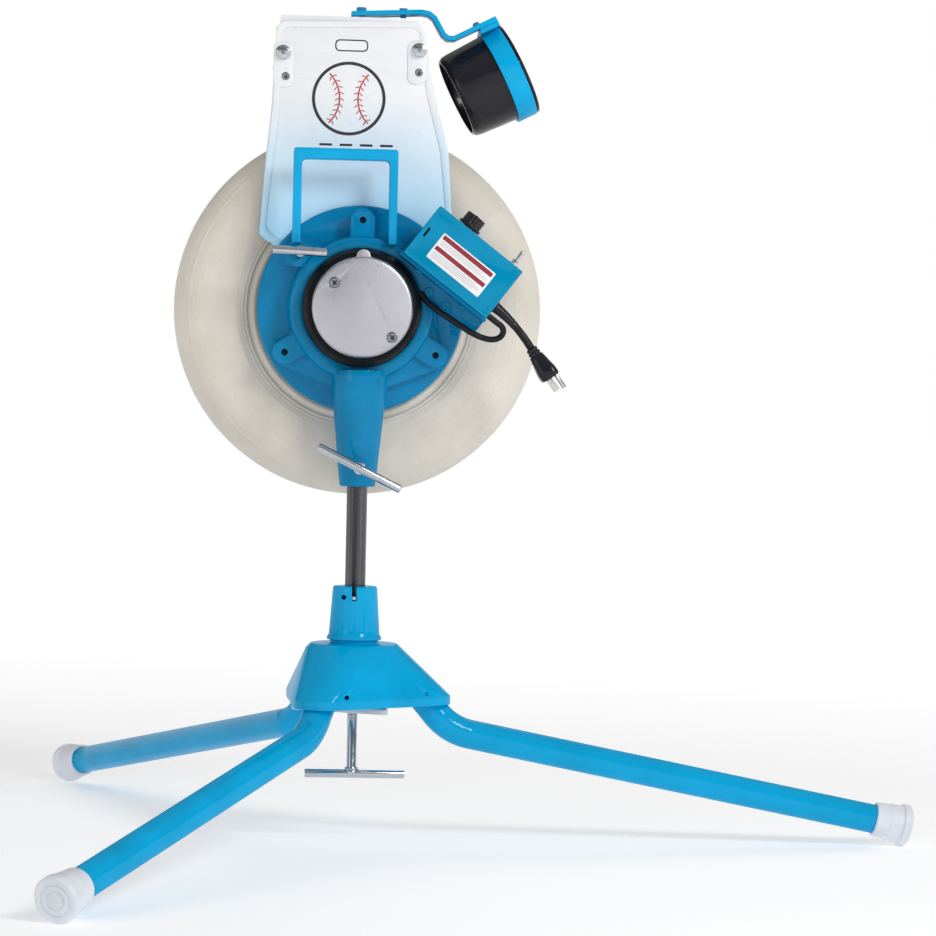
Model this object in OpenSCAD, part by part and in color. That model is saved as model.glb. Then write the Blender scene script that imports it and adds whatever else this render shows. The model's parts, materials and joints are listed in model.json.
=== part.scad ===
// Single-wheel baseball pitching machine on a three-legged stand.
// The ball drops through the cup, is gripped between the spinning tyre and the
// curved pressure pad above it, and leaves towards -X.

/* [Stand] */
// Radius from the post axis to the centre of a foot's end disc
foot_reach = 618; // [560:1:680]
// Turn of the whole stand about the post
stand_turn = 2.5; // [0:0.5:10]
// Slope of the long straight part of a leg
leg_slope = 11.2; // [8:0.1:14]
// Slope of the short part that goes up into the hub
socket_slope = 50; // [45:1:55]
// Outer diameter of a leg tube
leg_d = 31.75; // [28:0.25:34]
// Wall of a leg tube
leg_wall = 1.6; // [1.2:0.1:2.5]
// Outer diameter of a foot cap at its end flange
foot_d = 46; // [42:1:50]
// Diameter of the steel post
post_d = 22.2; // [20:0.1:24]
// Height of the hub casting's collar
collar_top = 278.4; // [270:0.2:290]

/* [Head] */
// Height of the motor and wheel axis above the floor
axis_z = 578; // [560:1:600]
// Diameter of the casting's flange disc
disc_d = 224; // [210:1:236]
// Outer diameter of the motor can
motor_d = 128; // [120:1:132]
// Diameter of the cap over the motor's outer end
cap_d = 108; // [100:1:112]
// Height of the carry handle's top above the floor
handle_top = 748; // [735:1:755]

/* [Wheel] */
// Outer diameter of the tyre
tyre_d = 406; // [390:1:412]
// Width of the tyre
tyre_w = 98; // [90:1:100]
// Distance from the post axis back to the tyre's middle
tyre_y = 93; // [92:0.5:96]

/* [Ball lane] */
// Gap between the tyre tread and the pressure pad
ball_gap = 64; // [60:0.5:68]
// Inner diameter of the feed cup
cup_bore = 90; // [80:1:92]
// Length of the feed cup
cup_len = 78; // [70:1:84]
// Tilt of the cup's axis up from the horizontal
cup_tilt = 27; // [20:1:35]

/* [Control box] */
// Length of the box
box_len = 112; // [105:1:115]
// Height of the box
box_h = 63; // [58:1:66]
// Depth of the box
box_depth = 45; // [43:1:52]
// Slope of the box's long side
box_turn = -37.3; // [-40:0.1:-34]

/* [Hidden] */

// The post stands off the middle of the floor footprint, because one leg points along +X
post_x = -138;
post_y = 12;
smooth = 96;
mid = 64;
small = 32;
far = 400;

// Stand
leg_r = leg_d / 2;
leg_turns = [0, -120, 120];
foot_r = foot_d / 2;
foot_len = 40;
bend_r = 65;
bend_u = 106;
bend_angle = socket_slope - leg_slope;
bend_tangent = bend_r * tan(bend_angle / 2);
nest = 1.5;
foot_round = 2.2;
foot_flat = 0.35;
end_z = foot_r * cos(leg_slope) - foot_round * sin(leg_slope) - foot_flat;
bend_z = end_z + (foot_reach - bend_u) * tan(leg_slope);
straight_len = (foot_reach - bend_u) / cos(leg_slope) - bend_tangent - 5;
socket_len = 72;
socket_bore_r = leg_r + 0.08;
lobe_r = 30;
lobe_u = 76;
hub_bottom = 152;
hub_lip = 9;
hub_top = 216.5;
hub_top_r = 50;
collar_r = 24;
collar_base_r = 27.5;
collar_flare_r = 29.5;
neck_r = 26;
post_r = post_d / 2;
post_bottom = 162;
post_top = 500;
drawbolt_r = 5.5;
drawbolt_bar_z = 75;
drawbolt_bar = 108;
bar_r = 4.6;

// Head
disc_r = disc_d / 2;
disc_y0 = 17;
disc_y1 = 25;
boss_y = -14;
boss_r = 77;
motor_r = motor_d / 2;
motor_y0 = -40;
motor_y1 = 17;
cap_r = cap_d / 2;
cap_t = 10;
lug_u = 95;
lug_r = 13;
lug_turns = [90, 211, 329];
lug_y = -4;
socket_bottom = 386;
socket_bottom_r = 19.5;
socket_top_z = 492;
socket_top_r = 29.5;
socket_bore = post_r + 0.08;
head_lock_z = 406.6;
head_lock_turn = 26.4;
head_bar_y = -52;
tilt_x = -67.5;
tilt_z = 636;
stud_y0 = -4.1;
tilt_bar_y = -46;
pad_y = -8;
tilt_u = norm([tilt_x, tilt_z - axis_z]);
tilt_turn = atan2(tilt_z - axis_z, tilt_x);
handle_x0 = -76;
handle_x1 = 36;
handle_y0 = -24;
handle_y1 = -8;
handle_foot_z = 646;
back_cut_z = [440, 530];
standoff_at = [-8, 16];
flange_mid = -45;
handle_leg = 9;
handle_bar = 12;

// Wheel
tyre_r = tyre_d / 2;
rim_r = 101;
rim_half = 32;
tube_wall = 2.5;
shaft_r = 9.5;
hub_face_y = 66;

// Lane
plate_y0 = 27;
plate_y1 = 29.6;
plate_rim_y = 36;
rim_t = 2.4;
spigot_r = 46;
skirt_r = 104;
tilt_low = 20;
tilt_high = 30;
pad_r = tyre_r + ball_gap;
channel_y1 = 150;
channel_top = 895;
channel_t = 3.5;
flange_z = 842;
plate_outline = [[-90, 640], [-111, 657], [-105.5, 742], [-100, 800], [-97.5, 882],
    [-91, 889], [57, 893], [64, 886], [74, 822], [93, 750], [98, 680], [86, 645]];
bolt_spots = [[-89.2, 853.5], [58.3, 859.9]];
screw_spots = [[-85.8, 828.2], [58.6, 836.2]];
cup_r = cup_bore / 2 + 2.5;
cup_x = 104;
cup_z = 816;
cup_y = 92;
band_at = 52;
band_w = 22;
band_t = 3.2;
arm_w = 26;
arm_t = 5;
arm_y = 60;
arm_path = [[-15, 901], [62, 905], [70, 903.5], [76, 899], [86, 881.5], [91, 877.5],
    [98, 877.5], [124, 890.6], [143.5, 900.6]];

// Control box
box_x = 105.5;
box_z = 628;
box_y0 = -60;
box_wall = 1.8;
knob_at = -18;
toggle_at = 44;
strip_w = 18;
gland_z = -14.5;
lead_entry_z = -26.5;

// Cords, as points from the post axis
lead_r = 3.3;
lead_route = [[62, -24, 596], [68, -25, 588], [78, -28, 579], [90, -31, 571], [104, -34, 562],
    [118, -36, 553.5], [130, -36, 548.5], [140, -36, 547], [148, -36, 549.5], [151.5, -36, 555.5],
    [149.5, -36, 561.3], [144.5, -36, 565], [137.2, -36, 570.6], [132.4, -36, 574.2]];
cord_r = 4.2;
cord_route = [[143.3, -36, 581], [145.8, -36.1, 579], [148.4, -36.2, 576.9], [151, -36.4, 574.6],
    [153.6, -36.7, 572.3], [156.2, -37, 569.8], [158.8, -37.4, 567.2], [161.4, -37.8, 564.5],
    [163.9, -38.2, 561.6], [166.5, -38.6, 558.7], [169.1, -39, 555.6], [171.6, -39.3, 552.4],
    [174.1, -39.6, 549.1], [176.6, -39.8, 545.7], [179, -39.9, 542.1], [181.4, -40, 538.5]];
plug_from = [181.4, -40, 538.5];
plug_turn = -55;
plug_len = 38;
blade_len = 18;

// Placement helpers
module at_post() { translate([post_x, post_y, 0]) children(); }
module slab(y0, y1) { translate([0, y1, 0]) rotate([90, 0, 0]) linear_extrude(y1 - y0) children(); }
module rod_y(x, z, y0, y1, r, fn = mid) {
    translate([x, y0, z]) rotate([-90, 0, 0]) cylinder(r = r, h = y1 - y0, $fn = fn);
}
module turned_y(fn = smooth) {
    translate([0, 0, axis_z]) rotate([-90, 0, 0]) rotate_extrude($fn = fn) children();
}
module about_axis(turn) {
    translate([0, 0, axis_z]) rotate([0, -turn, 0]) translate([0, 0, -axis_z]) children();
}
module leg_plane(turn) { rotate([0, 0, stand_turn + turn]) children(); }
module along_socket(from) {
    translate([bend_u, 0, bend_z]) rotate([0, -90 + socket_slope, 0]) translate([0, 0, from]) children();
}
module along_foot(from) {
    translate([foot_reach, 0, end_z]) rotate([0, -90 + leg_slope, 0]) translate([0, 0, from]) children();
}
module in_box() {
    translate([box_x, box_y0, box_z]) rotate([0, -box_turn, 0]) children();
}
module in_box_plane(x, z) {
    translate([box_x, 0, box_z]) rotate([0, -box_turn, 0]) translate([x, 0, z]) children();
}
module in_cup() { translate([cup_x, cup_y, cup_z]) rotate([0, 90 - cup_tilt, 0]) children(); }

// Sweeps a round section along a list of points
module swept(path, r, sides) {
    n = len(path);
    dirs = [for (i = [0:n - 1]) let (d = path[min(i + 1, n - 1)] - path[max(i - 1, 0)]) d / norm(d)];
    ring = [for (i = [0:n - 1]) let (a = cross([0, 1, 0], dirs[i]), u = a / norm(a), v = cross(dirs[i], u))
        for (k = [0:sides - 1]) path[i] + r * (cos(360 * k / sides) * u + sin(360 * k / sides) * v)];
    sides_faces = [for (i = [0:n - 2]) for (k = [0:sides - 1]) for (f = [0:1]) f == 0
        ? [i * sides + k, (i + 1) * sides + (k + 1) % sides, i * sides + (k + 1) % sides]
        : [i * sides + k, (i + 1) * sides + k, (i + 1) * sides + (k + 1) % sides]];
    caps = [[for (k = [0:sides - 1]) k], [for (k = [0:sides - 1]) n * sides - 1 - k]];
    polyhedron(points = ring, faces = concat(sides_faces, caps), convexity = 4);
}

module hex_head(x, z, y0, y1, across) {
    translate([x, y0, z]) rotate([-90, 0, 0]) cylinder(d = across / cos(30), h = y1 - y0, $fn = 6);
}
// Pan head with a cross recess, facing -Y
module pan_screw(x, z, y_face, r, head_t, shank_r, shank_len) {
    difference() {
        union() {
            rod_y(x, z, y_face - head_t, y_face, r, small);
            rod_y(x, z, y_face, y_face + shank_len, shank_r, small);
        }
        for (turn = [45, 135]) translate([x, y_face - head_t, z]) rotate([0, turn, 0])
            cube([r * 1.1, head_t * 0.9, r * 0.26], center = true);
    }
}

// ---------------------------------------------------------------- stand
module hub_hull() {
    hull() {
        for (turn = leg_turns) leg_plane(turn) translate([lobe_u, 0, hub_bottom])
            cylinder(r = lobe_r, h = hub_lip, $fn = small);
        translate([0, 0, hub_top - 6]) cylinder(r = hub_top_r + 2, h = 1, $fn = mid);
        translate([0, 0, hub_top - 1]) cylinder(r = hub_top_r - 3, h = 1, $fn = mid);
    }
}
module hub_casting() {
    color("deepskyblue") at_post() difference() {
        union() {
            hub_hull();
            rotate_extrude($fn = smooth) polygon([[0, hub_top - 2.5], [neck_r + 3, hub_top - 2.5],
                [neck_r, hub_top + 2], [neck_r, hub_top + 3.5], [collar_flare_r, hub_top + 4.5],
                [collar_flare_r, hub_top + 7], [collar_base_r, hub_top + 10],
                [collar_r, collar_top - 1.5], [collar_r - 1.5, collar_top], [0, collar_top]]);
        }
        cylinder(r = post_r + 0.06, h = far, $fn = mid);
        translate([0, 0, hub_bottom - 1]) cylinder(r = 16.2, h = 9.5, $fn = mid);
        for (turn = leg_turns) leg_plane(turn) along_socket(0)
            cylinder(r = socket_bore_r, h = 24 + socket_len, $fn = mid);
        for (turn = leg_turns) leg_plane(turn + 60) translate([36, 0, 0])
            cylinder(r = 15, h = hub_top - 8, $fn = mid);
        translate([-4.1, -far / 2, collar_top - 15]) cube([5, far / 2, 20]);
        translate([-12.6, -far / 2, collar_top - 11.4]) rotate([-90, 0, 0]) cylinder(r = 2.6, h = far / 2, $fn = small);
        for (spot = hub_screw_spots()) rotate([0, 0, spot]) translate([30, 0, hub_bottom + 13])
            rotate([0, 90, 0]) cylinder(r = 2.4, h = far, $fn = small);
    }
}
function hub_screw_spots() = [-96.5, -20];
module hub_bottom_plate() {
    color("gainsboro") at_post() difference() {
        union() {
            translate([0, 0, hub_bottom - 8]) rotate([0, 0, stand_turn + 60]) cylinder(r = 66, h = 6, $fn = 3);
            translate([0, 0, hub_bottom - 3]) cylinder(r = 16, h = 11, $fn = mid);
        }
        translate([0, 0, hub_bottom - 9]) cylinder(r = drawbolt_r + 0.6, h = 20, $fn = mid);
        for (turn = leg_turns) leg_plane(turn) translate([lobe_u + 2, 0, hub_bottom - 9])
            cylinder(r = 30, h = 8, $fn = mid);
    }
}
module hub_screws() {
    color("steelblue") at_post() for (spot = hub_screw_spots()) rotate([0, 0, spot])
        translate([44, 0, hub_bottom + 13]) rotate([0, 90, 0]) cylinder(r = 2.3, h = 12, $fn = small);
}
module post() {
    color("dimgray") at_post() difference() {
        rotate_extrude($fn = smooth) polygon([[0, post_bottom], [post_r - 1, post_bottom],
            [post_r, post_bottom + 1], [post_r, post_top - 1.5], [post_r - 1.5, post_top], [0, post_top]]);
        translate([0, 0, post_bottom - 1]) cylinder(r = drawbolt_r + 0.4, h = 32, $fn = mid);
        translate([-1.6, -far / 2, collar_top - 12.2]) rotate([-90, 0, 0]) cylinder(r = 2.3, h = far, $fn = small);
    }
}
module post_pin() {
    color("gray") at_post() translate([-1.6, -22, collar_top - 12.2]) rotate([-90, 0, 0])
        cylinder(r = 2.3, h = 22 + post_r - 1, $fn = small);
}
module drawbolt() {
    color("silver") at_post() union() {
        translate([0, 0, drawbolt_bar_z]) cylinder(r = drawbolt_r, h = post_bottom + 24 - drawbolt_bar_z, $fn = mid);
        translate([-drawbolt_bar / 2 + 3.5, 0, drawbolt_bar_z]) rotate([0, 90, 0])
            cylinder(r = bar_r, h = drawbolt_bar, $fn = mid);
        translate([0, 0, drawbolt_bar_z + 3]) cylinder(r1 = 8.5, r2 = 5.5, h = 5, $fn = mid);
    }
}
module drawbolt_washer() {
    color("darkgray") at_post() translate([0, 0, hub_bottom - 10.5]) difference() {
        cylinder(r = 13, h = 2.5, $fn = mid);
        translate([0, 0, -1]) cylinder(r = drawbolt_r + 0.5, h = 5, $fn = mid);
    }
}
// The bend is a hair thicker than the straight tube, so that the straights end inside it
module leg_solid(r, over) {
    along_socket(bend_tangent - nest) cylinder(r = r, h = socket_len + 23 - bend_tangent + nest + over, $fn = mid);
    translate([bend_u - bend_tangent * cos(socket_slope), 0, bend_z + bend_tangent * sin(socket_slope)])
        rotate([0, socket_slope - 90, 0]) translate([bend_r, 0, 0]) rotate([90, 0, 0]) rotate([0, 0, 180])
        rotate_extrude(angle = bend_angle, $fn = smooth) translate([bend_r, 0]) circle(r = r + 0.06, $fn = mid);
    along_foot(5 - over) cylinder(r = r, h = straight_len + nest + over, $fn = mid);
}
module leg(turn) {
    color("deepskyblue") at_post() leg_plane(turn) difference() {
        union() { leg_solid(leg_r, 0); }
        union() { leg_solid(leg_r - leg_wall, 1); }
    }
}
module leg_right() { leg(0); }
module leg_front() { leg(-120); }
module leg_rear() { leg(120); }
// Moulded cap: a sleeve over the tube, stepped flange and a closed end with three rings
module foot(turn) {
    color("whitesmoke") at_post() leg_plane(turn) difference() {
        along_foot(0) rotate_extrude($fn = smooth) polygon([[0, 0], [8, 0], [8, 0.8], [9.5, 0.8], [9.5, 0],
            [14, 0], [14, 0.8], [15.5, 0.8], [15.5, 0], [foot_r - 2.5, 0], [foot_r, foot_round], [foot_r, 9],
            [foot_r - 2.2, 10.5], [foot_r - 2.6, 24], [foot_r - 3.4, 25.5], [leg_r + 3, foot_len - 1.5],
            [leg_r + 1.6, foot_len], [leg_r + 0.05, foot_len], [leg_r + 0.05, 5], [0, 5]]);
        translate([foot_reach - far / 2, -far / 2, -far]) cube(far);
    }
}
module foot_right() { foot(0); }
module foot_front() { foot(-120); }
module foot_rear() { foot(120); }

// ---------------------------------------------------------------- head
module web(a, b, r0, r1) {
    hull() { translate(a) circle(r = r0, $fn = small); translate(b) circle(r = r1, $fn = small); }
}
module yoke_casting() {
    color("deepskyblue") at_post() difference() {
        union() {
            turned_y() polygon([[0, disc_y0], [disc_r - 2, disc_y0], [disc_r, disc_y0 + 2],
                [disc_r, disc_y1 - 1], [disc_r - 1, disc_y1], [spigot_r, disc_y1], [spigot_r, plate_y1 + 0.6],
                [0, plate_y1 + 0.6]]);
            turned_y() polygon([[0, boss_y + 1.5], [boss_r - 5, boss_y], [boss_r - 2, boss_y + 1],
                [boss_r, boss_y + 4], [boss_r + 3, disc_y0 + 1], [0, disc_y0 + 1]]);
            for (turn = lug_turns) about_axis(turn) {
                rod_y(lug_u, axis_z, lug_y, disc_y0 + 1, lug_r);
                translate([boss_r - 12, lug_y, axis_z - lug_r]) cube([lug_u - boss_r + 12, disc_y0 - lug_y + 1, 2 * lug_r]);
            }
            slab(2, disc_y0 + 1) for (side = [-1, 1])
                polygon([[side * 20, axis_z - 88], [side * 88, axis_z - 62], [side * 74, axis_z - 22], [side * 20, axis_z - 60]]);
            rod_y(tilt_x, tilt_z, -4, disc_y0 + 1, 15);
            slab(4, disc_y0 + 1) polygon([[handle_x0 - 5, handle_foot_z + 2], [handle_x0 + 18, handle_foot_z + 4],
                [-36, axis_z + 62], [-52, axis_z + 42], [-84, axis_z + 44]]);
            slab(pad_y, disc_y0 + 1) translate([handle_x0 - 1, handle_foot_z]) square([handle_leg + 2, 14]);
            slab(pad_y, disc_y0 + 1) polygon([[handle_x1 - 24, axis_z + 60], [handle_x1 - 11, handle_foot_z + 12],
                [handle_x1 + 2, handle_foot_z + 12], [handle_x1 + 14, axis_z + 55], [handle_x1, axis_z + 40]]);
            for (at = standoff_at) translate([0, boss_y, 0]) in_box_plane(at, flange_mid)
                rotate([-90, 0, 0]) cylinder(r = 7, h = disc_y0 - boss_y + 1, $fn = mid);
            rotate_extrude($fn = smooth) polygon([[0, socket_bottom], [socket_bottom_r - 1.5, socket_bottom],
                [socket_bottom_r, socket_bottom + 1.5], [socket_top_r, socket_top_z],
                [socket_top_r, axis_z - motor_r - 3], [0, axis_z - motor_r - 3]]);
            rod_y(0, head_lock_z, -33, 0, 10.5);
        }
        translate([-disc_r, disc_y1, back_cut_z[0]]) cube([disc_d, 40, back_cut_z[1] - back_cut_z[0]]);
        translate([0, 0, socket_bottom - 1]) cylinder(r = socket_bore, h = post_top - socket_bottom + 1.5, $fn = mid);
        rod_y(0, head_lock_z, -far, 0, 5.3);
        rod_y(0, axis_z, -far, motor_y1, motor_r + 0.05, smooth);
        rod_y(0, axis_z, 0, far, 32.5, smooth);
        rod_y(tilt_x, tilt_z, -far, far, 5.3);
        for (turn = lug_turns) about_axis(turn) rod_y(lug_u, axis_z, -far, disc_y1 - 4, 3.6, small);
        for (at = standoff_at) translate([0, boss_y - 1, 0]) in_box_plane(at, flange_mid)
            rotate([-90, 0, 0]) cylinder(r = 2, h = 14, $fn = small);
        for (x = handle_mids()) rod_y(x, handle_foot_z + 5, -far, pad_y + 16, 2, small);
        translate([handle_x1 - handle_leg - 0.4, -far, handle_foot_z - 0.4])
            cube([handle_leg + 0.8, far + pad_y + 0.3, 30]);
    }
}
module lug_screws() {
    color("dimgray") at_post() for (turn = lug_turns) about_axis(turn)
        rod_y(lug_u, axis_z, 4, disc_y1 - 4.5, 3.5, small);
}
function handle_mids() = [handle_x0 + handle_leg / 2, handle_x1 - handle_leg / 2];
module carry_handle() {
    gap = handle_x1 - handle_x0 - 2 * handle_leg;
    tall = handle_top - handle_bar - handle_foot_z;
    color("deepskyblue") at_post() difference() {
        slab(handle_y0, pad_y) difference() {
            translate([handle_x0, handle_foot_z]) square([gap + 2 * handle_leg, tall + handle_bar]);
            translate([handle_x0 + handle_leg, handle_foot_z - 1]) square([gap, tall - 2]);
            translate([handle_x0 + handle_leg + 3, handle_foot_z]) square([gap - 6, tall]);
        }
        for (x = handle_mids()) rod_y(x, handle_foot_z + 5, -far, 0, 2, small);
    }
}
module handle_screws() {
    color("silver") at_post() for (x = handle_mids())
        pan_screw(x, handle_foot_z + 5, handle_y0, 3.6, 2.2, 1.95, 30);
}
module motor_housing() {
    color("black") at_post() turned_y() polygon([[cap_r - 12, motor_y0], [cap_r + 3, motor_y0],
        [cap_r + 5, motor_y0 + 1.5], [motor_r - 1.5, motor_y0 + 9], [motor_r, motor_y0 + 12], [motor_r, motor_y1 - 0.1],
        [24, motor_y1 - 0.1], [24, motor_y1 - 3.5], [motor_r - 3, motor_y1 - 3.5],
        [motor_r - 3, motor_y0 + 12.5], [cap_r, motor_y0 + 4], [cap_r - 12, motor_y0 + 4]]);
}
module motor_end_cap() {
    color("lightgray") at_post() difference() {
        union() {
            turned_y() polygon([[0, motor_y0 - cap_t], [cap_r - 5, motor_y0 - cap_t], [cap_r - 2, motor_y0 - cap_t + 0.8],
                [cap_r - 0.6, motor_y0 - cap_t + 2.4], [cap_r, motor_y0 - cap_t + 4.5], [cap_r, motor_y0], [0, motor_y0]]);
            rod_y(0, axis_z + cap_r, motor_y0 - cap_t + 3, motor_y0, 7.5);
            slab(motor_y0 - cap_t + 3, motor_y0) polygon([[-7.5, axis_z + cap_r], [7.5, axis_z + cap_r],
                [13, axis_z + cap_r - 3.5], [13, axis_z + 40], [-13, axis_z + 40], [-13, axis_z + cap_r - 3.5]]);
        }
        rod_y(0, axis_z, motor_y0 - cap_t + 2.5, far, cap_r - 12.5, smooth);
        for (spot = cap_screw_spots()) rod_y(spot[0], spot[1], -far, motor_y0 + 1, 2.4, small);
    }
}
function cap_screw_spots() = [[-30.5, axis_z + 25.5], [32, axis_z - 31.5]];
module cap_screws() {
    color("silver") at_post() for (spot = cap_screw_spots())
        pan_screw(spot[0], spot[1], motor_y0 - cap_t, 5.2, 2, 2.2, 7);
}
module motor_magnets() {
    color("gray") at_post() slab(motor_y0 + 14, motor_y1 - 6) for (turn = [-45, 45, 135, 225])
        translate([0, axis_z]) rotate(turn) difference() {
            intersection() {
                circle(r = motor_r - 3.1, $fn = smooth);
                polygon([[0, 0], [far, -far * 0.7], [far, far * 0.7]]);
            }
            circle(r = motor_r - 13, $fn = smooth);
        }
}
module motor_armature() {
    color("peru") at_post() difference() {
        slab(motor_y0 + 21, motor_y1 - 8) translate([0, axis_z]) difference() {
            circle(r = motor_r - 15, $fn = smooth);
            for (slot = [0:11]) rotate(slot * 30) translate([motor_r - 21, -2.4]) square([10, 4.8]);
        }
        rod_y(0, axis_z, -far, far, shaft_r, mid);
    }
}
module motor_shaft() {
    color("silver") at_post() turned_y() polygon([[0, motor_y0 + 6], [shaft_r - 3, motor_y0 + 6], [shaft_r, motor_y0 + 9],
        [shaft_r, hub_face_y + 14], [shaft_r - 1, hub_face_y + 15], [0, hub_face_y + 15]]);
}
module motor_bearings() {
    color("silver") at_post() for (y = [-31.5, 17.2]) turned_y() difference() {
        translate([shaft_r + 0.06, y]) square([22 - shaft_r, 11]);
        translate([shaft_r + 4, y - 1]) square([6, 2]);
        translate([shaft_r + 4, y + 10]) square([6, 2]);
    }
}

// ---------------------------------------------------------------- wheel
module wheel_rim() {
    color("gainsboro") at_post() difference() {
        turned_y() translate([0, tyre_y]) polygon([[rim_r + 6, -rim_half], [rim_r + 7, -rim_half + 1.5],
            [rim_r + 5, -rim_half + 3], [rim_r, -rim_half + 5], [rim_r - 2, -rim_half + 16], [rim_r - 14, -rim_half + 24],
            [rim_r - 14, rim_half - 24], [rim_r - 2, rim_half - 16], [rim_r, rim_half - 5], [rim_r + 5, rim_half - 3],
            [rim_r + 7, rim_half - 1.5], [rim_r + 6, rim_half], [rim_r - 2, rim_half - 3], [rim_r - 5, rim_half - 16],
            [rim_r - 17, rim_half - 25], [rim_r - 19, -7], [70, -14], [45, -14], [45, -17.5], [72, -17.5],
            [rim_r - 16.5, -rim_half + 22], [rim_r - 4.5, -rim_half + 14], [rim_r - 2, -rim_half + 3]]);
        for (turn = [0:90:270]) about_axis(turn + 20) rod_y(58, axis_z, 0, far, 4.4, small);
        about_axis(65) rod_y(rim_r - 9, axis_z, 0, far, 4.6, small);
    }
}
module wheel_hub() {
    color("silver") at_post() difference() {
        turned_y() polygon([[shaft_r + 0.02, hub_face_y - 22], [26, hub_face_y - 22], [26, hub_face_y + 5],
            [68, hub_face_y + 5], [68, hub_face_y + 9.4], [44.8, hub_face_y + 9.4], [44.8, hub_face_y + 13], [30, hub_face_y + 13],
            [30, hub_face_y + 14], [shaft_r + 0.02, hub_face_y + 14]]);
        for (turn = [0:90:270]) about_axis(turn + 20) rod_y(58, axis_z, 0, far, 4.4, small);
    }
}
module lug_nuts() {
    color("silver") at_post() for (turn = [0:90:270]) about_axis(turn + 20) {
        rod_y(58, axis_z, hub_face_y + 3, hub_face_y + 22, 4.3, small);
        hex_head(58, axis_z, hub_face_y + 1.5, hub_face_y + 5, 12);
        hex_head(58, axis_z, hub_face_y + 13.1, hub_face_y + 19, 13);
    }
}
module shaft_nut() {
    color("silver") at_post() {
        hex_head(0, axis_z, hub_face_y + 15, hub_face_y + 22, 27);
        rod_y(0, axis_z, hub_face_y + 22, hub_face_y + 24, 8, mid);
    }
}
module tyre() {
    half = tyre_w / 2;
    bead = rim_r + 0.3;
    color("antiquewhite") at_post() turned_y() translate([0, tyre_y]) polygon([
        [bead, -rim_half + 5.2], [rim_r + 7, -rim_half + 2.5], [rim_r + 14, -rim_half - 3], [rim_r + 24, -half + 6],
        [rim_r + 32, -half + 2], [rim_r + 42, -half + 0.2], [rim_r + 54, -half], [rim_r + 66, -half + 1.5],
        [rim_r + 78, -half + 6], [rim_r + 88, -half + 14], [tyre_r - 8.5, -half + 20], [tyre_r - 3.5, -half + 30],
        [tyre_r - 0.8, -half + 40], [tyre_r, 0], [tyre_r - 0.8, half - 40], [tyre_r - 3.5, half - 30],
        [tyre_r - 8.5, half - 20], [rim_r + 88, half - 14], [rim_r + 78, half - 6], [rim_r + 66, half - 1.5],
        [rim_r + 54, half], [rim_r + 42, half - 0.2], [rim_r + 32, half - 2], [rim_r + 24, half - 6],
        [rim_r + 14, rim_half + 3], [rim_r + 7, rim_half - 2.5], [bead, rim_half - 5.2],
        [bead, rim_half - 13], [rim_r + 7, rim_half - 11], [rim_r + 26, half - 13], [rim_r + 54, half - 7.5],
        [rim_r + 78, half - 14], [tyre_r - 14, half - 28], [tyre_r - 11, 0], [tyre_r - 14, -half + 28],
        [rim_r + 78, -half + 14], [rim_r + 54, -half + 7.5], [rim_r + 26, -half + 13], [rim_r + 7, -rim_half + 11],
        [bead, -rim_half + 13]]);
}
module inner_tube() {
    mid_r = rim_r + 45;
    color("dimgray") at_post() turned_y() translate([mid_r, tyre_y]) difference() {
        circle(r = 36, $fn = mid);
        circle(r = 36 - tube_wall, $fn = mid);
    }
}
module valve_stem() {
    color("goldenrod") at_post() about_axis(65) {
        rod_y(rim_r - 9, axis_z, tyre_y - 12, tyre_y + 22, 4, small);
        rod_y(rim_r - 9, axis_z, tyre_y + 22, tyre_y + 27, 3.2, small);
    }
}

// ---------------------------------------------------------------- ball lane
module lane_shape(inset) {
    polygon([for (p = plate_outline) let (m = [-8, 760], d = p - m) m + d * (1 - inset / norm(d))]);
}
module lane_plate() {
    color("white") at_post() difference() {
        union() {
            slab(plate_y0, plate_y1) {
                lane_shape(1);
                translate([0, axis_z]) circle(r = skirt_r, $fn = smooth);
            }
            slab(plate_y1 - 0.1, plate_rim_y) difference() {
                lane_shape(0);
                lane_shape(rim_t);
                translate([-100, 560]) square([200, 100]);
                translate([-120, flange_z - 0.4]) square([240, 80]);
            }
        }
        rod_y(0, axis_z, 0, far, spigot_r + 0.08, smooth);
        slab(0, far) tilt_slot();
        for (spot = bolt_spots) rod_y(spot[0], spot[1], 0, far, 4.2, small);
        for (spot = screw_spots) rod_y(spot[0], spot[1], 0, far, 2.3, small);
    }
}
// Curved slot about the motor axis for the tilt lock screw
module tilt_slot() {
    from = tilt_turn - tilt_low - 4;
    to = tilt_turn + tilt_high + 4;
    translate([0, axis_z]) difference() {
        circle(r = tilt_u + 5.6, $fn = smooth);
        circle(r = tilt_u - 5.6, $fn = smooth);
        polygon([[0, 0], far * [cos(to), sin(to)], far * [cos(to + 90), sin(to + 90)],
            far * [cos(to + 180), sin(to + 180)], far * [cos(from + 270), sin(from + 270)],
            far * [cos(from), sin(from)]]);
    }
}
module pressure_channel() {
    top = channel_top;
    color("white") at_post() difference() {
        union() {
            translate([-92, plate_y1 + 0.3, top - channel_t]) cube([156, channel_y1 - plate_y1 - 0.3, channel_t]);
            slab(channel_y1 - channel_t, channel_y1) polygon([[-92, top], [64, top], [72, 850], [66, 800], [-92, 795], [-99, 850]]);
            slab(plate_y1 + 0.05, plate_y1 + channel_t) polygon([[-92, top], [62, top], [66, 870], [68, flange_z], [-96, flange_z], [-95, 870]]);
        }
        for (spot = bolt_spots) rod_y(spot[0], spot[1], 0, far, 4.2, small);
        for (spot = screw_spots) rod_y(spot[0], spot[1], 0, 60, 2.3, small);
        for (x = arm_bolt_spots()) translate([x, arm_y, top - 20]) cylinder(r = 3.3, h = 40, $fn = small);
    }
}
function arm_bolt_spots() = [-4, 42];
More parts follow.
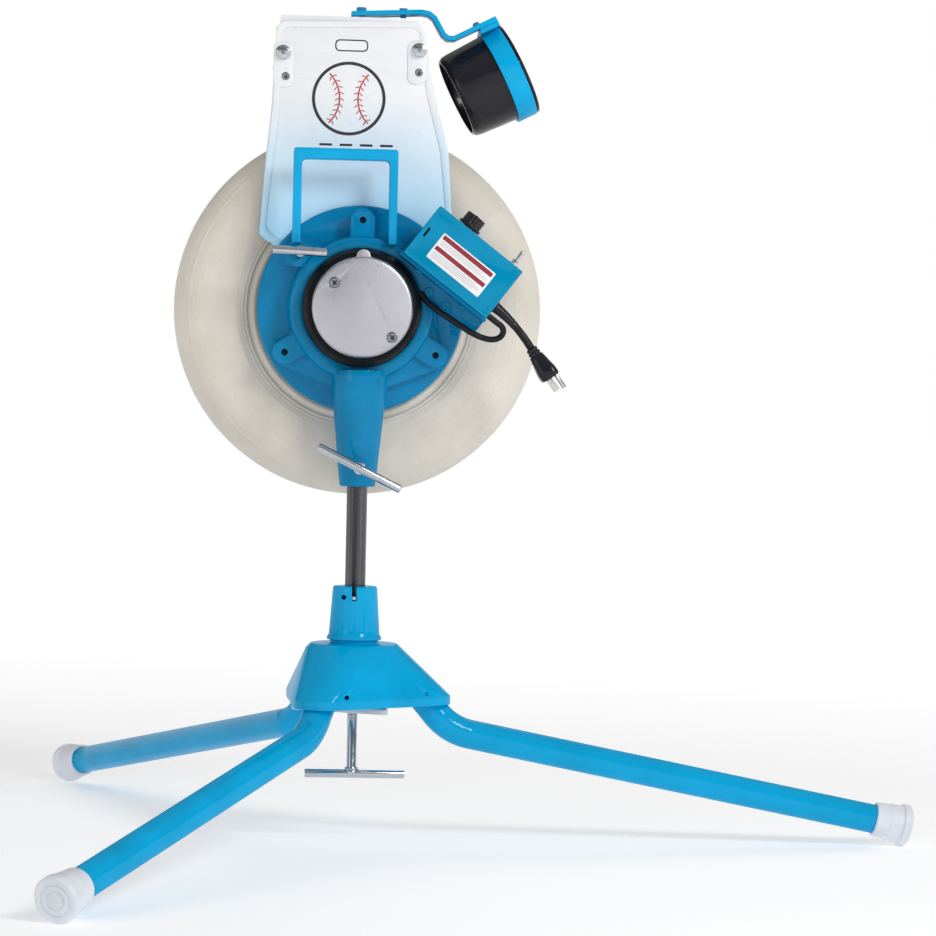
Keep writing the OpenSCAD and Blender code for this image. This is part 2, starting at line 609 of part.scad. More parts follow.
// Curved pad that follows the tyre at one ball's width
module pressure_pad() {
    color("dimgray") at_post() slab(plate_y1 + channel_t + 1, channel_y1 - channel_t - 1) intersection() {
        translate([0, axis_z]) difference() {
            circle(r = pad_r + 14, $fn = 2 * smooth);
            circle(r = pad_r, $fn = 2 * smooth);
        }
        polygon([[-84, 790], [-84, 870], [56, 870], [56, 790]]);
    }
}
module lane_bolts() {
    color("silver") at_post() for (spot = bolt_spots) {
        hex_head(spot[0], spot[1], plate_y0 - 7, plate_y0 - 1.6, 12.7);
        rod_y(spot[0], spot[1], plate_y0 - 1.6, plate_y0, 8.5);
        rod_y(spot[0], spot[1], plate_y0 - 1.7, channel_y1 + 9, 4, small);
        hex_head(spot[0], spot[1], channel_y1, channel_y1 + 6.5, 12.7);
    }
}
module lane_screws() {
    color("gainsboro") at_post() for (spot = screw_spots)
        pan_screw(spot[0], spot[1], plate_y0, 4.4, 2.2, 2.2, 9);
}
function arm_side(i, side) = let (n = len(arm_path) - 1,
    d = arm_path[min(i + 1, n)] - arm_path[max(i - 1, 0)], u = d / norm(d)) arm_path[i] + side * arm_t / 2 * [-u[1], u[0]];
module feed_arm() {
    n = len(arm_path) - 1;
    color("deepskyblue") at_post() difference() {
        slab(arm_y - arm_w / 2, arm_y + arm_w / 2)
            polygon(concat([for (i = [0:n]) arm_side(i, 1)], [for (i = [n:-1:0]) arm_side(i, -1)]));
        for (x = arm_bolt_spots()) translate([x, arm_y, 850]) cylinder(r = 3.3, h = 80, $fn = small);
    }
}
module arm_bolts() {
    color("steelblue") at_post() for (i = [0, 1]) translate([arm_bolt_spots()[i], arm_y, 0]) {
        z = 904.6 + i * 2.3;
        translate([0, 0, channel_top - 9]) cylinder(r = 3.1, h = z + 2 - channel_top + 9, $fn = small);
        translate([0, 0, z]) cylinder(r = 5.6 - i, h = i == 0 ? 4.5 : 2.5, $fn = i == 0 ? 6 : small);
        translate([0, 0, channel_top - channel_t - 5]) cylinder(r = 5.8, h = 5, $fn = 6);
    }
}
module feed_cup() {
    color("black") at_post() in_cup() rotate_extrude($fn = smooth) polygon([
        [cup_bore / 2 - 3, 0], [cup_r - 3.4, 0], [cup_r - 0.6, 3.5], [cup_r + 0.4, 9], [cup_r + 2.6, band_at - 1],
        [cup_r + 2.9, band_at + band_w + 1], [cup_r + 5, band_at + band_w + 1.2], [cup_r + 5.2, cup_len - 0.6],
        [cup_r + 3.6, cup_len], [cup_r + 1.8, cup_len], [cup_bore / 2 + 2.4, cup_len - 3],
        [cup_bore / 2, 12], [cup_bore / 2 - 3, 2]]);
}
module cup_band() {
    color("deepskyblue") at_post() in_cup() difference() {
        union() {
            translate([0, 0, band_at]) cylinder(r = cup_r + 3 + band_t, h = band_w, $fn = smooth);
            translate([-cup_r - 7.4, arm_y - cup_y - arm_w / 2, band_at]) cube([5.9, arm_w + 12, band_w]);
        }
        translate([0, 0, band_at - 1]) cylinder(r = cup_r + 2.95, h = band_w + 2, $fn = smooth);
    }
}

// ---------------------------------------------------------------- clamp screws
module tilt_lock_screw() {
    color("silver") at_post() difference() {
        union() {
            rod_y(tilt_x, tilt_z, tilt_bar_y, stud_y0, 4.9);
            rod_y(tilt_x, tilt_z, tilt_bar_y, tilt_bar_y + 9, 6);
        }
        translate([tilt_x, tilt_bar_y, tilt_z]) rotate([0, 90, 0]) cylinder(r = bar_r + 0.02, h = 40, center = true, $fn = mid);
    }
}
// Threaded stud of the tilt clamp, inside the casting, the slot and the clamp nut
module tilt_lock_stud() { color("silver") at_post() rod_y(tilt_x, tilt_z, stud_y0, 42, 4.9); }
module bar(len) {
    rotate([0, 90, 0]) translate([0, 0, -len / 2]) rotate_extrude($fn = mid)
        polygon([[0, 0], [bar_r - 1, 0], [bar_r, 1], [bar_r, len - 1], [bar_r - 1, len], [0, len]]);
}
module tilt_lock_bar() { color("silver") at_post() translate([tilt_x, tilt_bar_y, tilt_z]) rotate([0, 2, 0]) bar(58); }
module tilt_clamp_nut() {
    color("silver") at_post() difference() {
        translate([tilt_x - 9, plate_y1 + 0.4, tilt_z - 9]) cube([18, 7, 18]);
        rod_y(tilt_x, tilt_z, 0, far, 5.25);
    }
}
module head_lock_screw() {
    color("silver") at_post() difference() {
        union() {
            rod_y(0, head_lock_z, head_bar_y, -post_r - 0.35, 4.9);
            rod_y(0, head_lock_z, head_bar_y, head_bar_y + 9, 6.5);
        }
        translate([0, head_bar_y, head_lock_z]) rotate([0, head_lock_turn, 0]) rotate([0, 90, 0])
            cylinder(r = bar_r + 0.02, h = 40, center = true, $fn = mid);
    }
}
module head_lock_bar() {
    color("silver") at_post() translate([0, head_bar_y, head_lock_z]) rotate([0, head_lock_turn, 0]) bar(99);
}

// ---------------------------------------------------------------- control box
module control_box_body() {
    color("deepskyblue") at_post() in_box() difference() {
        translate([-box_len / 2, 1.6, -box_h / 2]) cube([box_len, box_depth - 1.6, box_h]);
        translate([-box_len / 2 + box_wall, 0, -box_h / 2 + box_wall])
            cube([box_len - 2 * box_wall, box_depth - box_wall, box_h - 2 * box_wall]);
        translate([knob_at, 22, 0]) cylinder(r = 4.2, h = far, $fn = small);
        translate([toggle_at, 22, 0]) cylinder(r = 4.2, h = far, $fn = small);
        translate([0, 24, gland_z]) rotate([0, 90, 0]) cylinder(r = 7.05, h = far, $fn = mid);
        translate([0, 24, lead_entry_z]) rotate([0, 90, 0]) cylinder(r = lead_r + 0.05, h = far, $fn = mid);
        for (x = [-30, 30]) translate([x, 30, -far / 2 - 20]) cylinder(r = 2.3, h = far / 2, $fn = small);
    }
}
module control_box_lid() {
    color("deepskyblue") at_post() in_box() difference() {
        translate([-box_len / 2, 0, -box_h / 2]) cube([box_len, 1.6, box_h]);
        for (x = [-1, 1], z = [-1, 1]) translate([x * (box_len / 2 - 6), -1, z * (box_h / 2 - 6)])
            rotate([-90, 0, 0]) cylinder(r = 1.7, h = 5, $fn = small);
        translate([-box_len / 2 + 4.5, -1, -5]) cube([2.4, 5, 11]);
    }
}
module box_screws() {
    color("silver") at_post() in_box() {
        for (x = [-1, 1], z = [-1, 1]) pan_screw(x * (box_len / 2 - 6), z * (box_h / 2 - 6), 0, 2.4, 0.7, 1.65, 9);
        for (x = [-30, 30]) translate([x, 30, -box_h / 2 - 5.2]) cylinder(r = 2.2, h = 9, $fn = small);
        for (x = [-30, 30]) translate([x, 30, -box_h / 2 - 5.4]) cylinder(r = 4.2, h = 2.2, $fn = small);
        for (at = standoff_at) pan_screw(at, flange_mid, boss_y - box_y0 - 3.1, 4.4, 2.4, 1.95, 13);
    }
}
// Angle strip: one leg under the box, the other screwed to two posts of the casting
module box_bracket() {
    color("deepskyblue") at_post() difference() {
        in_box() difference() {
            union() {
                translate([-box_len / 2 - 2, 12, -box_h / 2 - 3.2]) cube([box_len + 4, boss_y - box_y0 - 12, 3.1]);
                translate([-box_len / 2 - 2, boss_y - box_y0 - 3.1, -box_h / 2 - strip_w])
                    cube([box_len + 4, 3, strip_w - 0.1]);
            }
            for (x = [-30, 30]) translate([x, 30, -box_h / 2 - 10]) cylinder(r = 2.3, h = 20, $fn = small);
            for (at = standoff_at) translate([at, 30, flange_mid]) rotate([-90, 0, 0]) cylinder(r = 2.3, h = 30, $fn = small);
        }
        rod_y(0, axis_z, -far, 0, motor_r + 1, smooth);
    }
}
module circuit_board() {
    color("seagreen") at_post() in_box() union() {
        translate([-48, box_depth - 12, -26]) cube([66, 1.6, 50]);
        translate([-42, box_depth - 26, -20]) cube([18, 14.1, 16]);
        translate([-14, box_depth - 22, 2]) cube([12, 10.1, 14]);
        translate([4, box_depth - 24, -16]) rotate([-90, 0, 0]) cylinder(r = 7, h = 12.1, $fn = small);
    }
}
module potentiometer() {
    color("darkgray") at_post() in_box() translate([knob_at, 22, 0]) {
        translate([0, 0, box_h / 2 - box_wall - 9]) cylinder(r = 10, h = 8.9, $fn = mid);
        translate([0, 0, box_h / 2 - box_wall - 1]) cylinder(r = 4.1, h = 6.5, $fn = small);
        translate([0, 0, box_h / 2 + 0.1]) cylinder(r = 6.4, h = 2.2, $fn = 6);
    }
}
module speed_knob() {
    ribs = 20;
    color("black") at_post() in_box() translate([knob_at, 22, box_h / 2 + 2.7]) union() {
        difference() {
            cylinder(r = 13.2, h = 3, $fn = mid);
            translate([0, 0, -1]) cylinder(r = 7.5, h = 3, $fn = mid);
        }
        translate([0, 0, 2.9]) linear_extrude(11)
            polygon([for (i = [0:2 * ribs - 1]) (i % 2 == 0 ? 11.4 : 10.5) * [cos(180 * i / ribs), sin(180 * i / ribs)]]);
        translate([-1.2, -9.5, 13.5]) cube([2.4, 9.5, 1.2]);
    }
}
module toggle_body() {
    color("silver") at_post() in_box() translate([toggle_at, 22, box_h / 2]) {
        translate([-7, -10, -20]) cube([14, 20, 18]);
        difference() {
            union() {
                translate([0, 0, -2.1]) cylinder(r = 4.1, h = 9, $fn = small);
                translate([0, 0, 0.1]) cylinder(r = 7, h = 2.4, $fn = 6);
            }
            translate([0, 0, 0.2]) cylinder(r = 3, h = 10, $fn = small);
        }
    }
}
module toggle_lever() {
    color("silver") at_post() in_box() translate([toggle_at, 22, box_h / 2 + 2.6]) rotate([-12, 0, 0]) {
        sphere(r = 2, $fn = small);
        rotate([0, 90, 0]) cylinder(r = 1.2, h = 5, center = true, $fn = small);
        cylinder(r1 = 1.5, r2 = 2.6, h = 15, $fn = small);
        translate([0, 0, 15]) sphere(r = 2.6, $fn = small);
    }
}
module cord_gland() {
    color("black") at_post() in_box() translate([box_len / 2, 24, gland_z]) rotate([0, 90, 0]) difference() {
        union() {
            translate([0, 0, -4]) cylinder(r = 7, h = 6, $fn = mid);
            translate([0, 0, 0.1]) cylinder(r1 = 8, r2 = 6, h = 2.4, $fn = mid);
        }
        translate([0, 0, -6]) cylinder(r = 3.3, h = 7, $fn = small);
    }
}
module mains_cord() { color("black") at_post() swept(cord_route, cord_r, 10); }
module motor_lead() { color("black") at_post() swept(lead_route, lead_r, 8); }
module at_plug() { translate(plug_from) rotate([0, 90 - plug_turn, 0]) children(); }
module plug_body() {
    color("black") at_post() at_plug() {
        cylinder(r1 = 6.5, r2 = 9, h = 13, $fn = mid);
        translate([0, 0, 13]) cylinder(r = 9, h = 6, $fn = mid);
        hull() {
            translate([0, 0, 19]) cylinder(r = 9, h = 1, $fn = small);
            translate([0, 0, plug_len - 8]) for (s = [-1, 1]) translate([0, s * 4, 0]) cylinder(r = 11, h = 1, $fn = small);
            translate([0, 0, plug_len - 1]) for (s = [-1, 1]) translate([0, s * 4, 0]) cylinder(r = 10, h = 1, $fn = small);
        }
    }
}
module plug_blades() {
    color("gold") at_post() at_plug() {
        for (s = [-1, 1]) translate([2 - 3.2, s * 6.35 - 0.75, plug_len - 3]) cube([6.4, 1.5, blade_len]);
        translate([-6.5, 0, plug_len - 3]) cylinder(r = 2.4, h = blade_len + 2, $fn = small);
    }
}

hub_casting();
hub_bottom_plate();
hub_screws();
post();
post_pin();
drawbolt();
drawbolt_washer();
leg_right();
leg_front();
leg_rear();
foot_right();
foot_front();
foot_rear();
yoke_casting();
lug_screws();
carry_handle();
handle_screws();
motor_housing();
motor_end_cap();
cap_screws();
motor_magnets();
motor_armature();
motor_shaft();
motor_bearings();
wheel_rim();
wheel_hub();
lug_nuts();
shaft_nut();
tyre();
inner_tube();
valve_stem();
lane_plate();
pressure_channel();
pressure_pad();
lane_bolts();
lane_screws();
feed_arm();
arm_bolts();
feed_cup();
cup_band();
tilt_lock_screw();
tilt_lock_stud();
tilt_lock_bar();
tilt_clamp_nut();
head_lock_screw();
head_lock_bar();
control_box_body();
control_box_lid();
box_screws();
box_bracket();
circuit_board();
potentiometer();
speed_knob();
toggle_body();
toggle_lever();
cord_gland();
mains_cord();
plug_body();
plug_blades();
motor_lead();
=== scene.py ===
import json
import math

import bmesh
import bpy
from mathutils import Matrix, Vector


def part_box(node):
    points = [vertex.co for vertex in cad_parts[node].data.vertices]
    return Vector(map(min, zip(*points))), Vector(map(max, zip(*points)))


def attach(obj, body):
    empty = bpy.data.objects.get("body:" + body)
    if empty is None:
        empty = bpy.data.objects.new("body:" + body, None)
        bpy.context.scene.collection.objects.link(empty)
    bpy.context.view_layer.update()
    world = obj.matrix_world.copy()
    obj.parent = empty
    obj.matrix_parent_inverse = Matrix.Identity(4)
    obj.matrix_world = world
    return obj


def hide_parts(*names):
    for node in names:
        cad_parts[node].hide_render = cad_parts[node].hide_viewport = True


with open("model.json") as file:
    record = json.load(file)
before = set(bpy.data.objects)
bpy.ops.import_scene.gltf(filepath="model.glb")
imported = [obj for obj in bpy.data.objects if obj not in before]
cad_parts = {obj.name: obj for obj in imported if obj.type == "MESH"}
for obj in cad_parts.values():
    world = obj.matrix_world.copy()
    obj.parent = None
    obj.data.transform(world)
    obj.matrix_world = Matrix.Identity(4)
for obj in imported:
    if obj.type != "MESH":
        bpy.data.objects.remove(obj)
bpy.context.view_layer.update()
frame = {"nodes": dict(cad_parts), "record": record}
MM = 0.001
FULL_TURN = 2 * math.pi

# ---------------------------------------------------------------- places, from the frame
POST = sum(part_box("post"), Vector()) / 2
TYRE_LO, TYRE_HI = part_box("tyre")
AXIS = Vector((POST.x, 0, (TYRE_LO.z + TYRE_HI.z) / 2))


def at_post(x, y, z):
    """A point given in millimetres from the post's axis and the floor."""
    return Vector((POST.x + x * MM, POST.y + y * MM, z * MM))


# ---------------------------------------------------------------- camera
CAMERA_FROM_POST = (-129, -3368, 476)
YAW, PITCH, ROLL = math.radians(4.22), math.radians(-1.15), math.radians(1.25)
FOCAL_LENGTH, SENSOR_WIDTH = 120.0, 36.0
FARTHEST_SEEN = 50


def add_camera():
    """A long lens at about half the machine's height, a little to the left of the post."""
    data = bpy.data.cameras.new("camera")
    data.lens = FOCAL_LENGTH
    data.sensor_width = SENSOR_WIDTH
    data.clip_end = FARTHEST_SEEN
    camera = bpy.data.objects.new("camera", data)
    bpy.context.scene.collection.objects.link(camera)
    forward = Vector((math.sin(YAW) * math.cos(PITCH), math.cos(YAW) * math.cos(PITCH), math.sin(PITCH)))
    level = Vector((math.cos(YAW), -math.sin(YAW), 0))
    above = level.cross(forward)
    right = math.cos(ROLL) * level + math.sin(ROLL) * above
    up = -math.sin(ROLL) * level + math.cos(ROLL) * above
    turn = Matrix((right, up, -forward)).transposed()
    camera.matrix_world = Matrix.Translation(at_post(*CAMERA_FROM_POST)) @ turn.to_4x4()
    bpy.context.scene.camera = camera


# ---------------------------------------------------------------- materials
class Paint:
    """A material's node tree, with short calls for the nodes that the materials share."""

    def __init__(self, name, colour, rough=0.5, metal=0.0, coat=0.0, coat_rough=0.1, specular=0.5):
        self.material = bpy.data.materials.new(name)
        self.material.use_nodes = True
        self.tree = self.material.node_tree
        self.shader = self.tree.nodes["Principled BSDF"]
        self.coords = self.add("ShaderNodeTexCoord").outputs["Object"]
        self.colour = colour
        self.shader.inputs["Base Color"].default_value = (*colour, 1)
        self.shader.inputs["Roughness"].default_value = rough
        self.shader.inputs["Metallic"].default_value = metal
        self.shader.inputs["Coat Weight"].default_value = coat
        self.shader.inputs["Coat Roughness"].default_value = coat_rough
        self.shader.inputs["Specular IOR Level"].default_value = specular
        self.height = None

    def add(self, kind, **inputs):
        node = self.tree.nodes.new(kind)
        for key, value in inputs.items():
            node.inputs[key].default_value = value
        return node

    def link(self, source, target):
        self.tree.links.new(source, target)

    def noise(self, scale, detail=3.0, rough=0.5, stretch=(1, 1, 1)):
        mapping = self.add("ShaderNodeMapping", Scale=stretch)
        self.link(self.coords, mapping.inputs["Vector"])
        noise = self.add("ShaderNodeTexNoise", Scale=scale, Detail=detail, Roughness=rough)
        self.link(mapping.outputs["Vector"], noise.inputs["Vector"])
        return noise.outputs["Fac"]

    def ramp(self, source, stops):
        """Colours by (place, colour) stops along the source."""
        ramp = self.add("ShaderNodeValToRGB")
        elements = ramp.color_ramp.elements
        while len(elements) < len(stops):
            elements.new(0.5)
        for element, (place, colour) in zip(elements, stops):
            element.position = place
            element.color = (*colour, 1)
        self.link(source, ramp.inputs["Fac"])
        return ramp.outputs["Color"]

    def grey(self, source, low, high, start=0.3, end=0.7):
        """The source's range start to end, as a number from low to high."""
        limits = {"From Min": start, "From Max": end, "To Min": low, "To Max": high}
        node = self.add("ShaderNodeMapRange", **limits)
        self.link(source, node.inputs["Value"])
        return node.outputs["Result"]

    def split(self):
        """The X, Y and Z of the point on the surface."""
        node = self.add("ShaderNodeSeparateXYZ")
        self.link(self.coords, node.inputs["Vector"])
        return node.outputs

    def mix(self, factor, first, second):
        """Colours first and second, each a tuple or another node's output."""
        node = self.add("ShaderNodeMix")
        node.data_type = "RGBA"
        self.link(factor, node.inputs["Factor"])
        for socket, value in ((node.inputs["A"], first), (node.inputs["B"], second)):
            if isinstance(value, tuple):
                socket.default_value = (*value, 1)
            else:
                self.link(value, socket)
        return node.outputs["Result"]

    def paint(self, source):
        self.link(source, self.shader.inputs["Base Color"])

    def roughness(self, source):
        self.link(source, self.shader.inputs["Roughness"])

    def bump(self, source, strength, distance):
        """Relief from the source, on top of the relief given before."""
        bump = self.add("ShaderNodeBump", Strength=strength, Distance=distance)
        self.link(source, bump.inputs["Height"])
        if self.height is not None:
            self.link(self.height, bump.inputs["Normal"])
        self.height = bump.outputs["Normal"]
        self.link(self.height, self.shader.inputs["Normal"])


BLACK, WHITE = (0, 0, 0), (1, 1, 1)


def shade(colour, factor):
    return tuple(min(1.0, c * factor) for c in colour)


def speckled(paint, scale, low, high):
    """Slow colour variation, from low to high times the paint's own colour."""
    c = paint.colour
    paint.paint(paint.ramp(paint.noise(scale, 4), [(0.3, shade(c, low)), (0.7, shade(c, high))]))


def blue_paint():
    """Sky blue gloss on the stand, handle and feed arm."""
    p = Paint("blue_paint", (0.0, 0.36, 0.67), 0.22, coat=0.36, coat_rough=0.03, specular=0.0)
    speckled(p, 14, 0.9, 1.08)
    p.roughness(p.grey(p.noise(60, 4), 0.2, 0.3))
    p.bump(p.noise(900, 2), 0.08, 0.0004)
    p.bump(p.noise(90, 2), 0.1, 0.0012)
    return p.material


def cast_paint():
    """Darker blue gloss over the grain of a casting."""
    p = Paint("cast_paint", (0.0, 0.215, 0.435), 0.24, coat=0.34, coat_rough=0.04, specular=0.0)
    speckled(p, 20, 0.86, 1.08)
    p.roughness(p.grey(p.noise(70, 4), 0.28, 0.42))
    p.bump(p.noise(420, 3), 0.25, 0.0006)
    p.bump(p.noise(45, 3), 0.25, 0.002)
    return p.material


def box_paint():
    """Blue gloss on folded sheet."""
    p = Paint("box_paint", (0.0, 0.25, 0.45), 0.26, coat=0.28, coat_rough=0.04, specular=0.0)
    speckled(p, 24, 0.9, 1.08)
    p.roughness(p.grey(p.noise(80, 4), 0.22, 0.34))
    p.bump(p.noise(1100, 3), 0.12, 0.0003)
    return p.material


SKY_BLUE = (0.32, 0.72, 0.97)
FADE_FROM, FADE_TO = 0.04, 0.23


def plate_white():
    """White that fades into sky blue towards the axle; the fade's heights are above the axle."""
    p = Paint("plate_white", (0.76, 0.77, 0.8), 0.32, coat=0.2, coat_rough=0.12)
    fade = p.grey(p.split()["Z"], 0, 1, AXIS.z + FADE_FROM, AXIS.z + FADE_TO)
    cloudy = p.ramp(p.noise(12, 3), [(0.3, (0.735, 0.75, 0.78)), (0.7, (0.80, 0.805, 0.82))])
    p.paint(p.mix(fade, SKY_BLUE, cloudy))
    p.roughness(p.grey(p.noise(80, 3), 0.26, 0.4))
    p.bump(p.noise(700, 2), 0.08, 0.0004)
    return p.material


def plain_white():
    p = Paint("channel_white", (0.78, 0.79, 0.81), 0.38, coat=0.2)
    speckled(p, 18, 0.93, 1.03)
    p.bump(p.noise(700, 2), 0.1, 0.0004)
    return p.material


def metal(name, colour, rough, scale=300, grain=0.15, spots=None, wide=(0.82, 1.1)):
    """Bare or plated metal, its colour varied by wide, with dull spots of another colour if given."""
    p = Paint(name, colour, rough, metal=1.0)
    speckled(p, 40, *wide)
    if spots is not None:
        dust = p.ramp(p.noise(55, 6, 0.7), [(0.56, BLACK), (0.72, WHITE)])
        p.paint(p.mix(dust, colour, spots))
    p.roughness(p.grey(p.noise(scale, 4, 0.6), rough * 0.75, rough * 1.35))
    p.bump(p.noise(scale, 4, 0.6), grain, 0.0004)
    return p.material


def post_steel():
    """Bright-drawn bar with long dark bands painted along it as reflections, and fine dull specks."""
    p = Paint("post_steel", (0.10, 0.098, 0.112), 0.2, metal=1.0)
    lengthwise = p.noise(110, 3, 0.6, (1, 1, 0.012))
    # bands along the bar: painted reflections of a dark surround, standing in for the dark bands of chrome
    painted_reflection_bands = p.ramp(lengthwise, [(0.36, (0.01, 0.01, 0.013)), (0.62, (0.13, 0.13, 0.138))])
    dust = p.ramp(p.noise(420, 5, 0.8), [(0.60, BLACK), (0.70, (0.7, 0.7, 0.7))])
    p.paint(p.mix(dust, painted_reflection_bands, (0.03, 0.03, 0.035)))
    p.roughness(p.grey(p.noise(300, 4, 0.6), 0.16, 0.4))
    p.bump(p.noise(420, 4, 0.7), 0.12, 0.0003)
    return p.material


def plastic(name, colour, rough, coat=0.0, low=0.85, high=1.15, bump=0.15, scale=1200, specular=0.3):
    """Moulded plastic, rubber, print and simple paint: low and high vary the colour."""
    p = Paint(name, colour, rough, coat=coat, specular=specular)
    speckled(p, 30, low, high)
    p.roughness(p.grey(p.noise(120, 4), rough * 0.8, rough * 1.25))
    p.bump(p.noise(scale, 3), bump, 0.0003)
    return p.material


def tyre_rubber():
    """Cream rubber, cloudy, with small brown marks."""
    p = Paint("tyre_rubber", (0.63, 0.585, 0.50), 0.62, specular=0.3)
    broad = p.ramp(p.noise(7, 5, 0.6), [(0.32, (0.62, 0.57, 0.49)), (0.66, (0.76, 0.71, 0.635))])
    dirt = p.ramp(p.noise(160, 6, 0.75), [(0.60, BLACK), (0.76, (0.55, 0.55, 0.55))])
    p.paint(p.mix(dirt, broad, (0.36, 0.31, 0.23)))
    p.roughness(p.grey(p.noise(50, 5), 0.5, 0.72))
    p.bump(p.noise(500, 4), 0.25, 0.0006)
    p.bump(p.noise(30, 4), 0.3, 0.0025)
    return p.material


def material_library():
    """The finish of each material slot, and of the finer pieces that share a slot."""
    return {
        "blue_paint": blue_paint(),
        "cast_paint": cast_paint(),
        "box_paint": box_paint(),
        "blue_fastener": plastic("blue_fastener", (0.0, 0.2, 0.38), 0.35, coat=0.3),
        "post_steel": post_steel(),
        "zinc": metal("zinc", (0.50, 0.53, 0.56), 0.15, scale=200, grain=0.03,
                      spots=(0.30, 0.33, 0.36), wide=(0.9, 1.08)),
        "dark_fastener": metal("dark_fastener", (0.035, 0.036, 0.04), 0.4),
        "bright_steel": metal("bright_steel", (0.72, 0.73, 0.75), 0.18),
        "plate_white": plate_white(),
        "channel_white": plain_white(),
        "bottom_plate": plastic("bottom_plate", (0.62, 0.63, 0.66), 0.35, coat=0.2),
        "foot_plastic": plastic("foot_plastic", (0.74, 0.77, 0.83), 0.42, low=0.9, high=1.1,
                                bump=0.25, scale=700),
        "black_paint": plastic("black_paint", (0.006, 0.006, 0.007), 0.34, bump=0.3, scale=500,
                               specular=0.1),
        "cap_aluminium": metal("cap_aluminium", (0.49, 0.485, 0.52), 0.4, scale=420, grain=0.18,
                               wide=(0.93, 1.05)),
        "magnet": plastic("magnet", (0.12, 0.12, 0.125), 0.6),
        "copper": metal("copper", (0.62, 0.30, 0.14), 0.35),
        "rim_paint": plastic("rim_paint", (0.74, 0.74, 0.76), 0.35, coat=0.2),
        "tyre_rubber": tyre_rubber(),
        "tube_rubber": plastic("tube_rubber", (0.03, 0.03, 0.03), 0.7),
        "brass": metal("brass", (0.72, 0.56, 0.30), 0.25),
        "pad_rubber": plastic("pad_rubber", (0.045, 0.045, 0.05), 0.55, bump=0.35, scale=400),
        "black_plastic": plastic("black_plastic", (0.010, 0.010, 0.015), 0.24, coat=0.1, bump=0.12,
                                 specular=0.25),
        "cord_jacket": plastic("cord_jacket", (0.008, 0.008, 0.009), 0.38, bump=0.2, scale=900,
                               specular=0.22),
        "board": plastic("board", (0.02, 0.14, 0.06), 0.4),
        "nickel": metal("nickel", (0.66, 0.65, 0.62), 0.2),
        "screw_zinc": metal("screw_zinc", (0.26, 0.27, 0.29), 0.22),
        # black for print, and for the painted shade on the screws
        "print_and_shade_black": plastic("print_and_shade_black", (0.02, 0.02, 0.022), 0.4, coat=0.3, bump=0.05),
        "decal_red": plastic("decal_red", (0.42, 0.02, 0.02), 0.4, coat=0.3, bump=0.05),
        "label_white": plastic("label_white", (0.8, 0.8, 0.81), 0.4, coat=0.3, low=0.95, high=1.04,
                               bump=0.05),
        "label_red": plastic("label_red", (0.27, 0.015, 0.03), 0.4, coat=0.3, bump=0.05),
        "label_grey": plastic("label_grey", (0.4, 0.4, 0.42), 0.5, bump=0.05),
    }


# ---------------------------------------------------------------- stage
# height above the horizon, as a share of straight up, and brightness there
SKY = ((0.2, 1.0), (0.3, 0.1), (0.62, 0.45))
FLOOR_HALF = 60
# the floor glows a little near the machine and more towards the background
GLOW_NEAR, GLOW_FAR = 0.30, 0.66
GLOW_FROM, GLOW_TO = 0.8, 4.0
# name, place, size and power
LAMPS = (("key", (1.7, -2.5, 2.2), 0.9, 48), ("fill", (-2.4, -2.2, 1.3), 1.2, 6),
         ("back", (0.8, 2.6, 2.6), 1.6, 12))


def add_world():
    """A white studio: bright around the horizon, dimmer overhead, the same from every side."""
    world = bpy.data.worlds.new("studio")
    world.use_nodes = True
    tree = world.node_tree
    coords = tree.nodes.new("ShaderNodeTexCoord")
    split = tree.nodes.new("ShaderNodeSeparateXYZ")
    ramp = tree.nodes.new("ShaderNodeValToRGB")
    ramp.color_ramp.elements.new(0.5)
    for element, (place, grey) in zip(ramp.color_ramp.elements, SKY):
        element.position = place
        element.color = (grey, grey, grey, 1)
    tree.links.new(coords.outputs["Generated"], split.inputs["Vector"])
    tree.links.new(split.outputs["Z"], ramp.inputs["Fac"])
    tree.links.new(ramp.outputs["Color"], tree.nodes["Background"].inputs["Color"])
    tree.nodes["Background"].inputs["Strength"].default_value = 1.0
    bpy.context.scene.world = world
    bpy.context.scene.view_settings.view_transform = "Standard"


def add_stage():
    """A white floor, lit so that it runs into the background, and three soft lamps."""
    bm = bmesh.new()
    bmesh.ops.create_grid(bm, x_segments=1, y_segments=1, size=FLOOR_HALF)
    mesh = bpy.data.meshes.new("floor")
    bm.to_mesh(mesh)
    bm.free()
    floor = bpy.data.objects.new("floor", mesh)
    bpy.context.scene.collection.objects.link(floor)
    p = Paint("floor", (0.9, 0.9, 0.905), 0.7, specular=0.2)
    speckled(p, 0.8, 0.99, 1.0)
    distance = p.add("ShaderNodeVectorMath")
    distance.operation = "LENGTH"
    p.link(p.coords, distance.inputs[0])
    p.shader.inputs["Emission Color"].default_value = (1, 1, 1, 1)
    glow = p.grey(distance.outputs["Value"], GLOW_NEAR, GLOW_FAR, GLOW_FROM, GLOW_TO)
    p.link(glow, p.shader.inputs["Emission Strength"])
    mesh.materials.append(p.material)
    for name, place, size, power in LAMPS:
        data = bpy.data.lights.new(name, "AREA")
        data.size = size
        data.energy = power
        lamp = bpy.data.objects.new(name, data)
        lamp.location = Vector(place)
        lamp.rotation_euler = (AXIS - lamp.location).to_track_quat("-Z", "Y").to_euler()
        bpy.context.scene.collection.objects.link(lamp)


# ---------------------------------------------------------------- mesh tools
SOFT_ANGLE = math.radians(32)
FLAT_ANGLE = math.radians(0.4)
# how far a printed line's back lies inside the face under it
SINK = 0.02
WELD_DISTANCE = 2e-6
JOIN_DISTANCE = 1e-6


def new_piece(name, bm, body, material, replaces=(), smooth=True):
    """Makes a piece from a bmesh given in the row frame, and lets it ride on its body."""
    bmesh.ops.recalc_face_normals(bm, faces=bm.faces)
    mesh = bpy.data.meshes.new(name)
    bm.to_mesh(mesh)
    bm.free()
    obj = bpy.data.objects.new(name, mesh)
    bpy.context.scene.collection.objects.link(obj)
    mesh.materials.append(material)
    if smooth:
        for polygon in mesh.polygons:
            polygon.use_smooth = True
    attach(obj, body)
    if replaces:
        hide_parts(*replaces)
    return obj


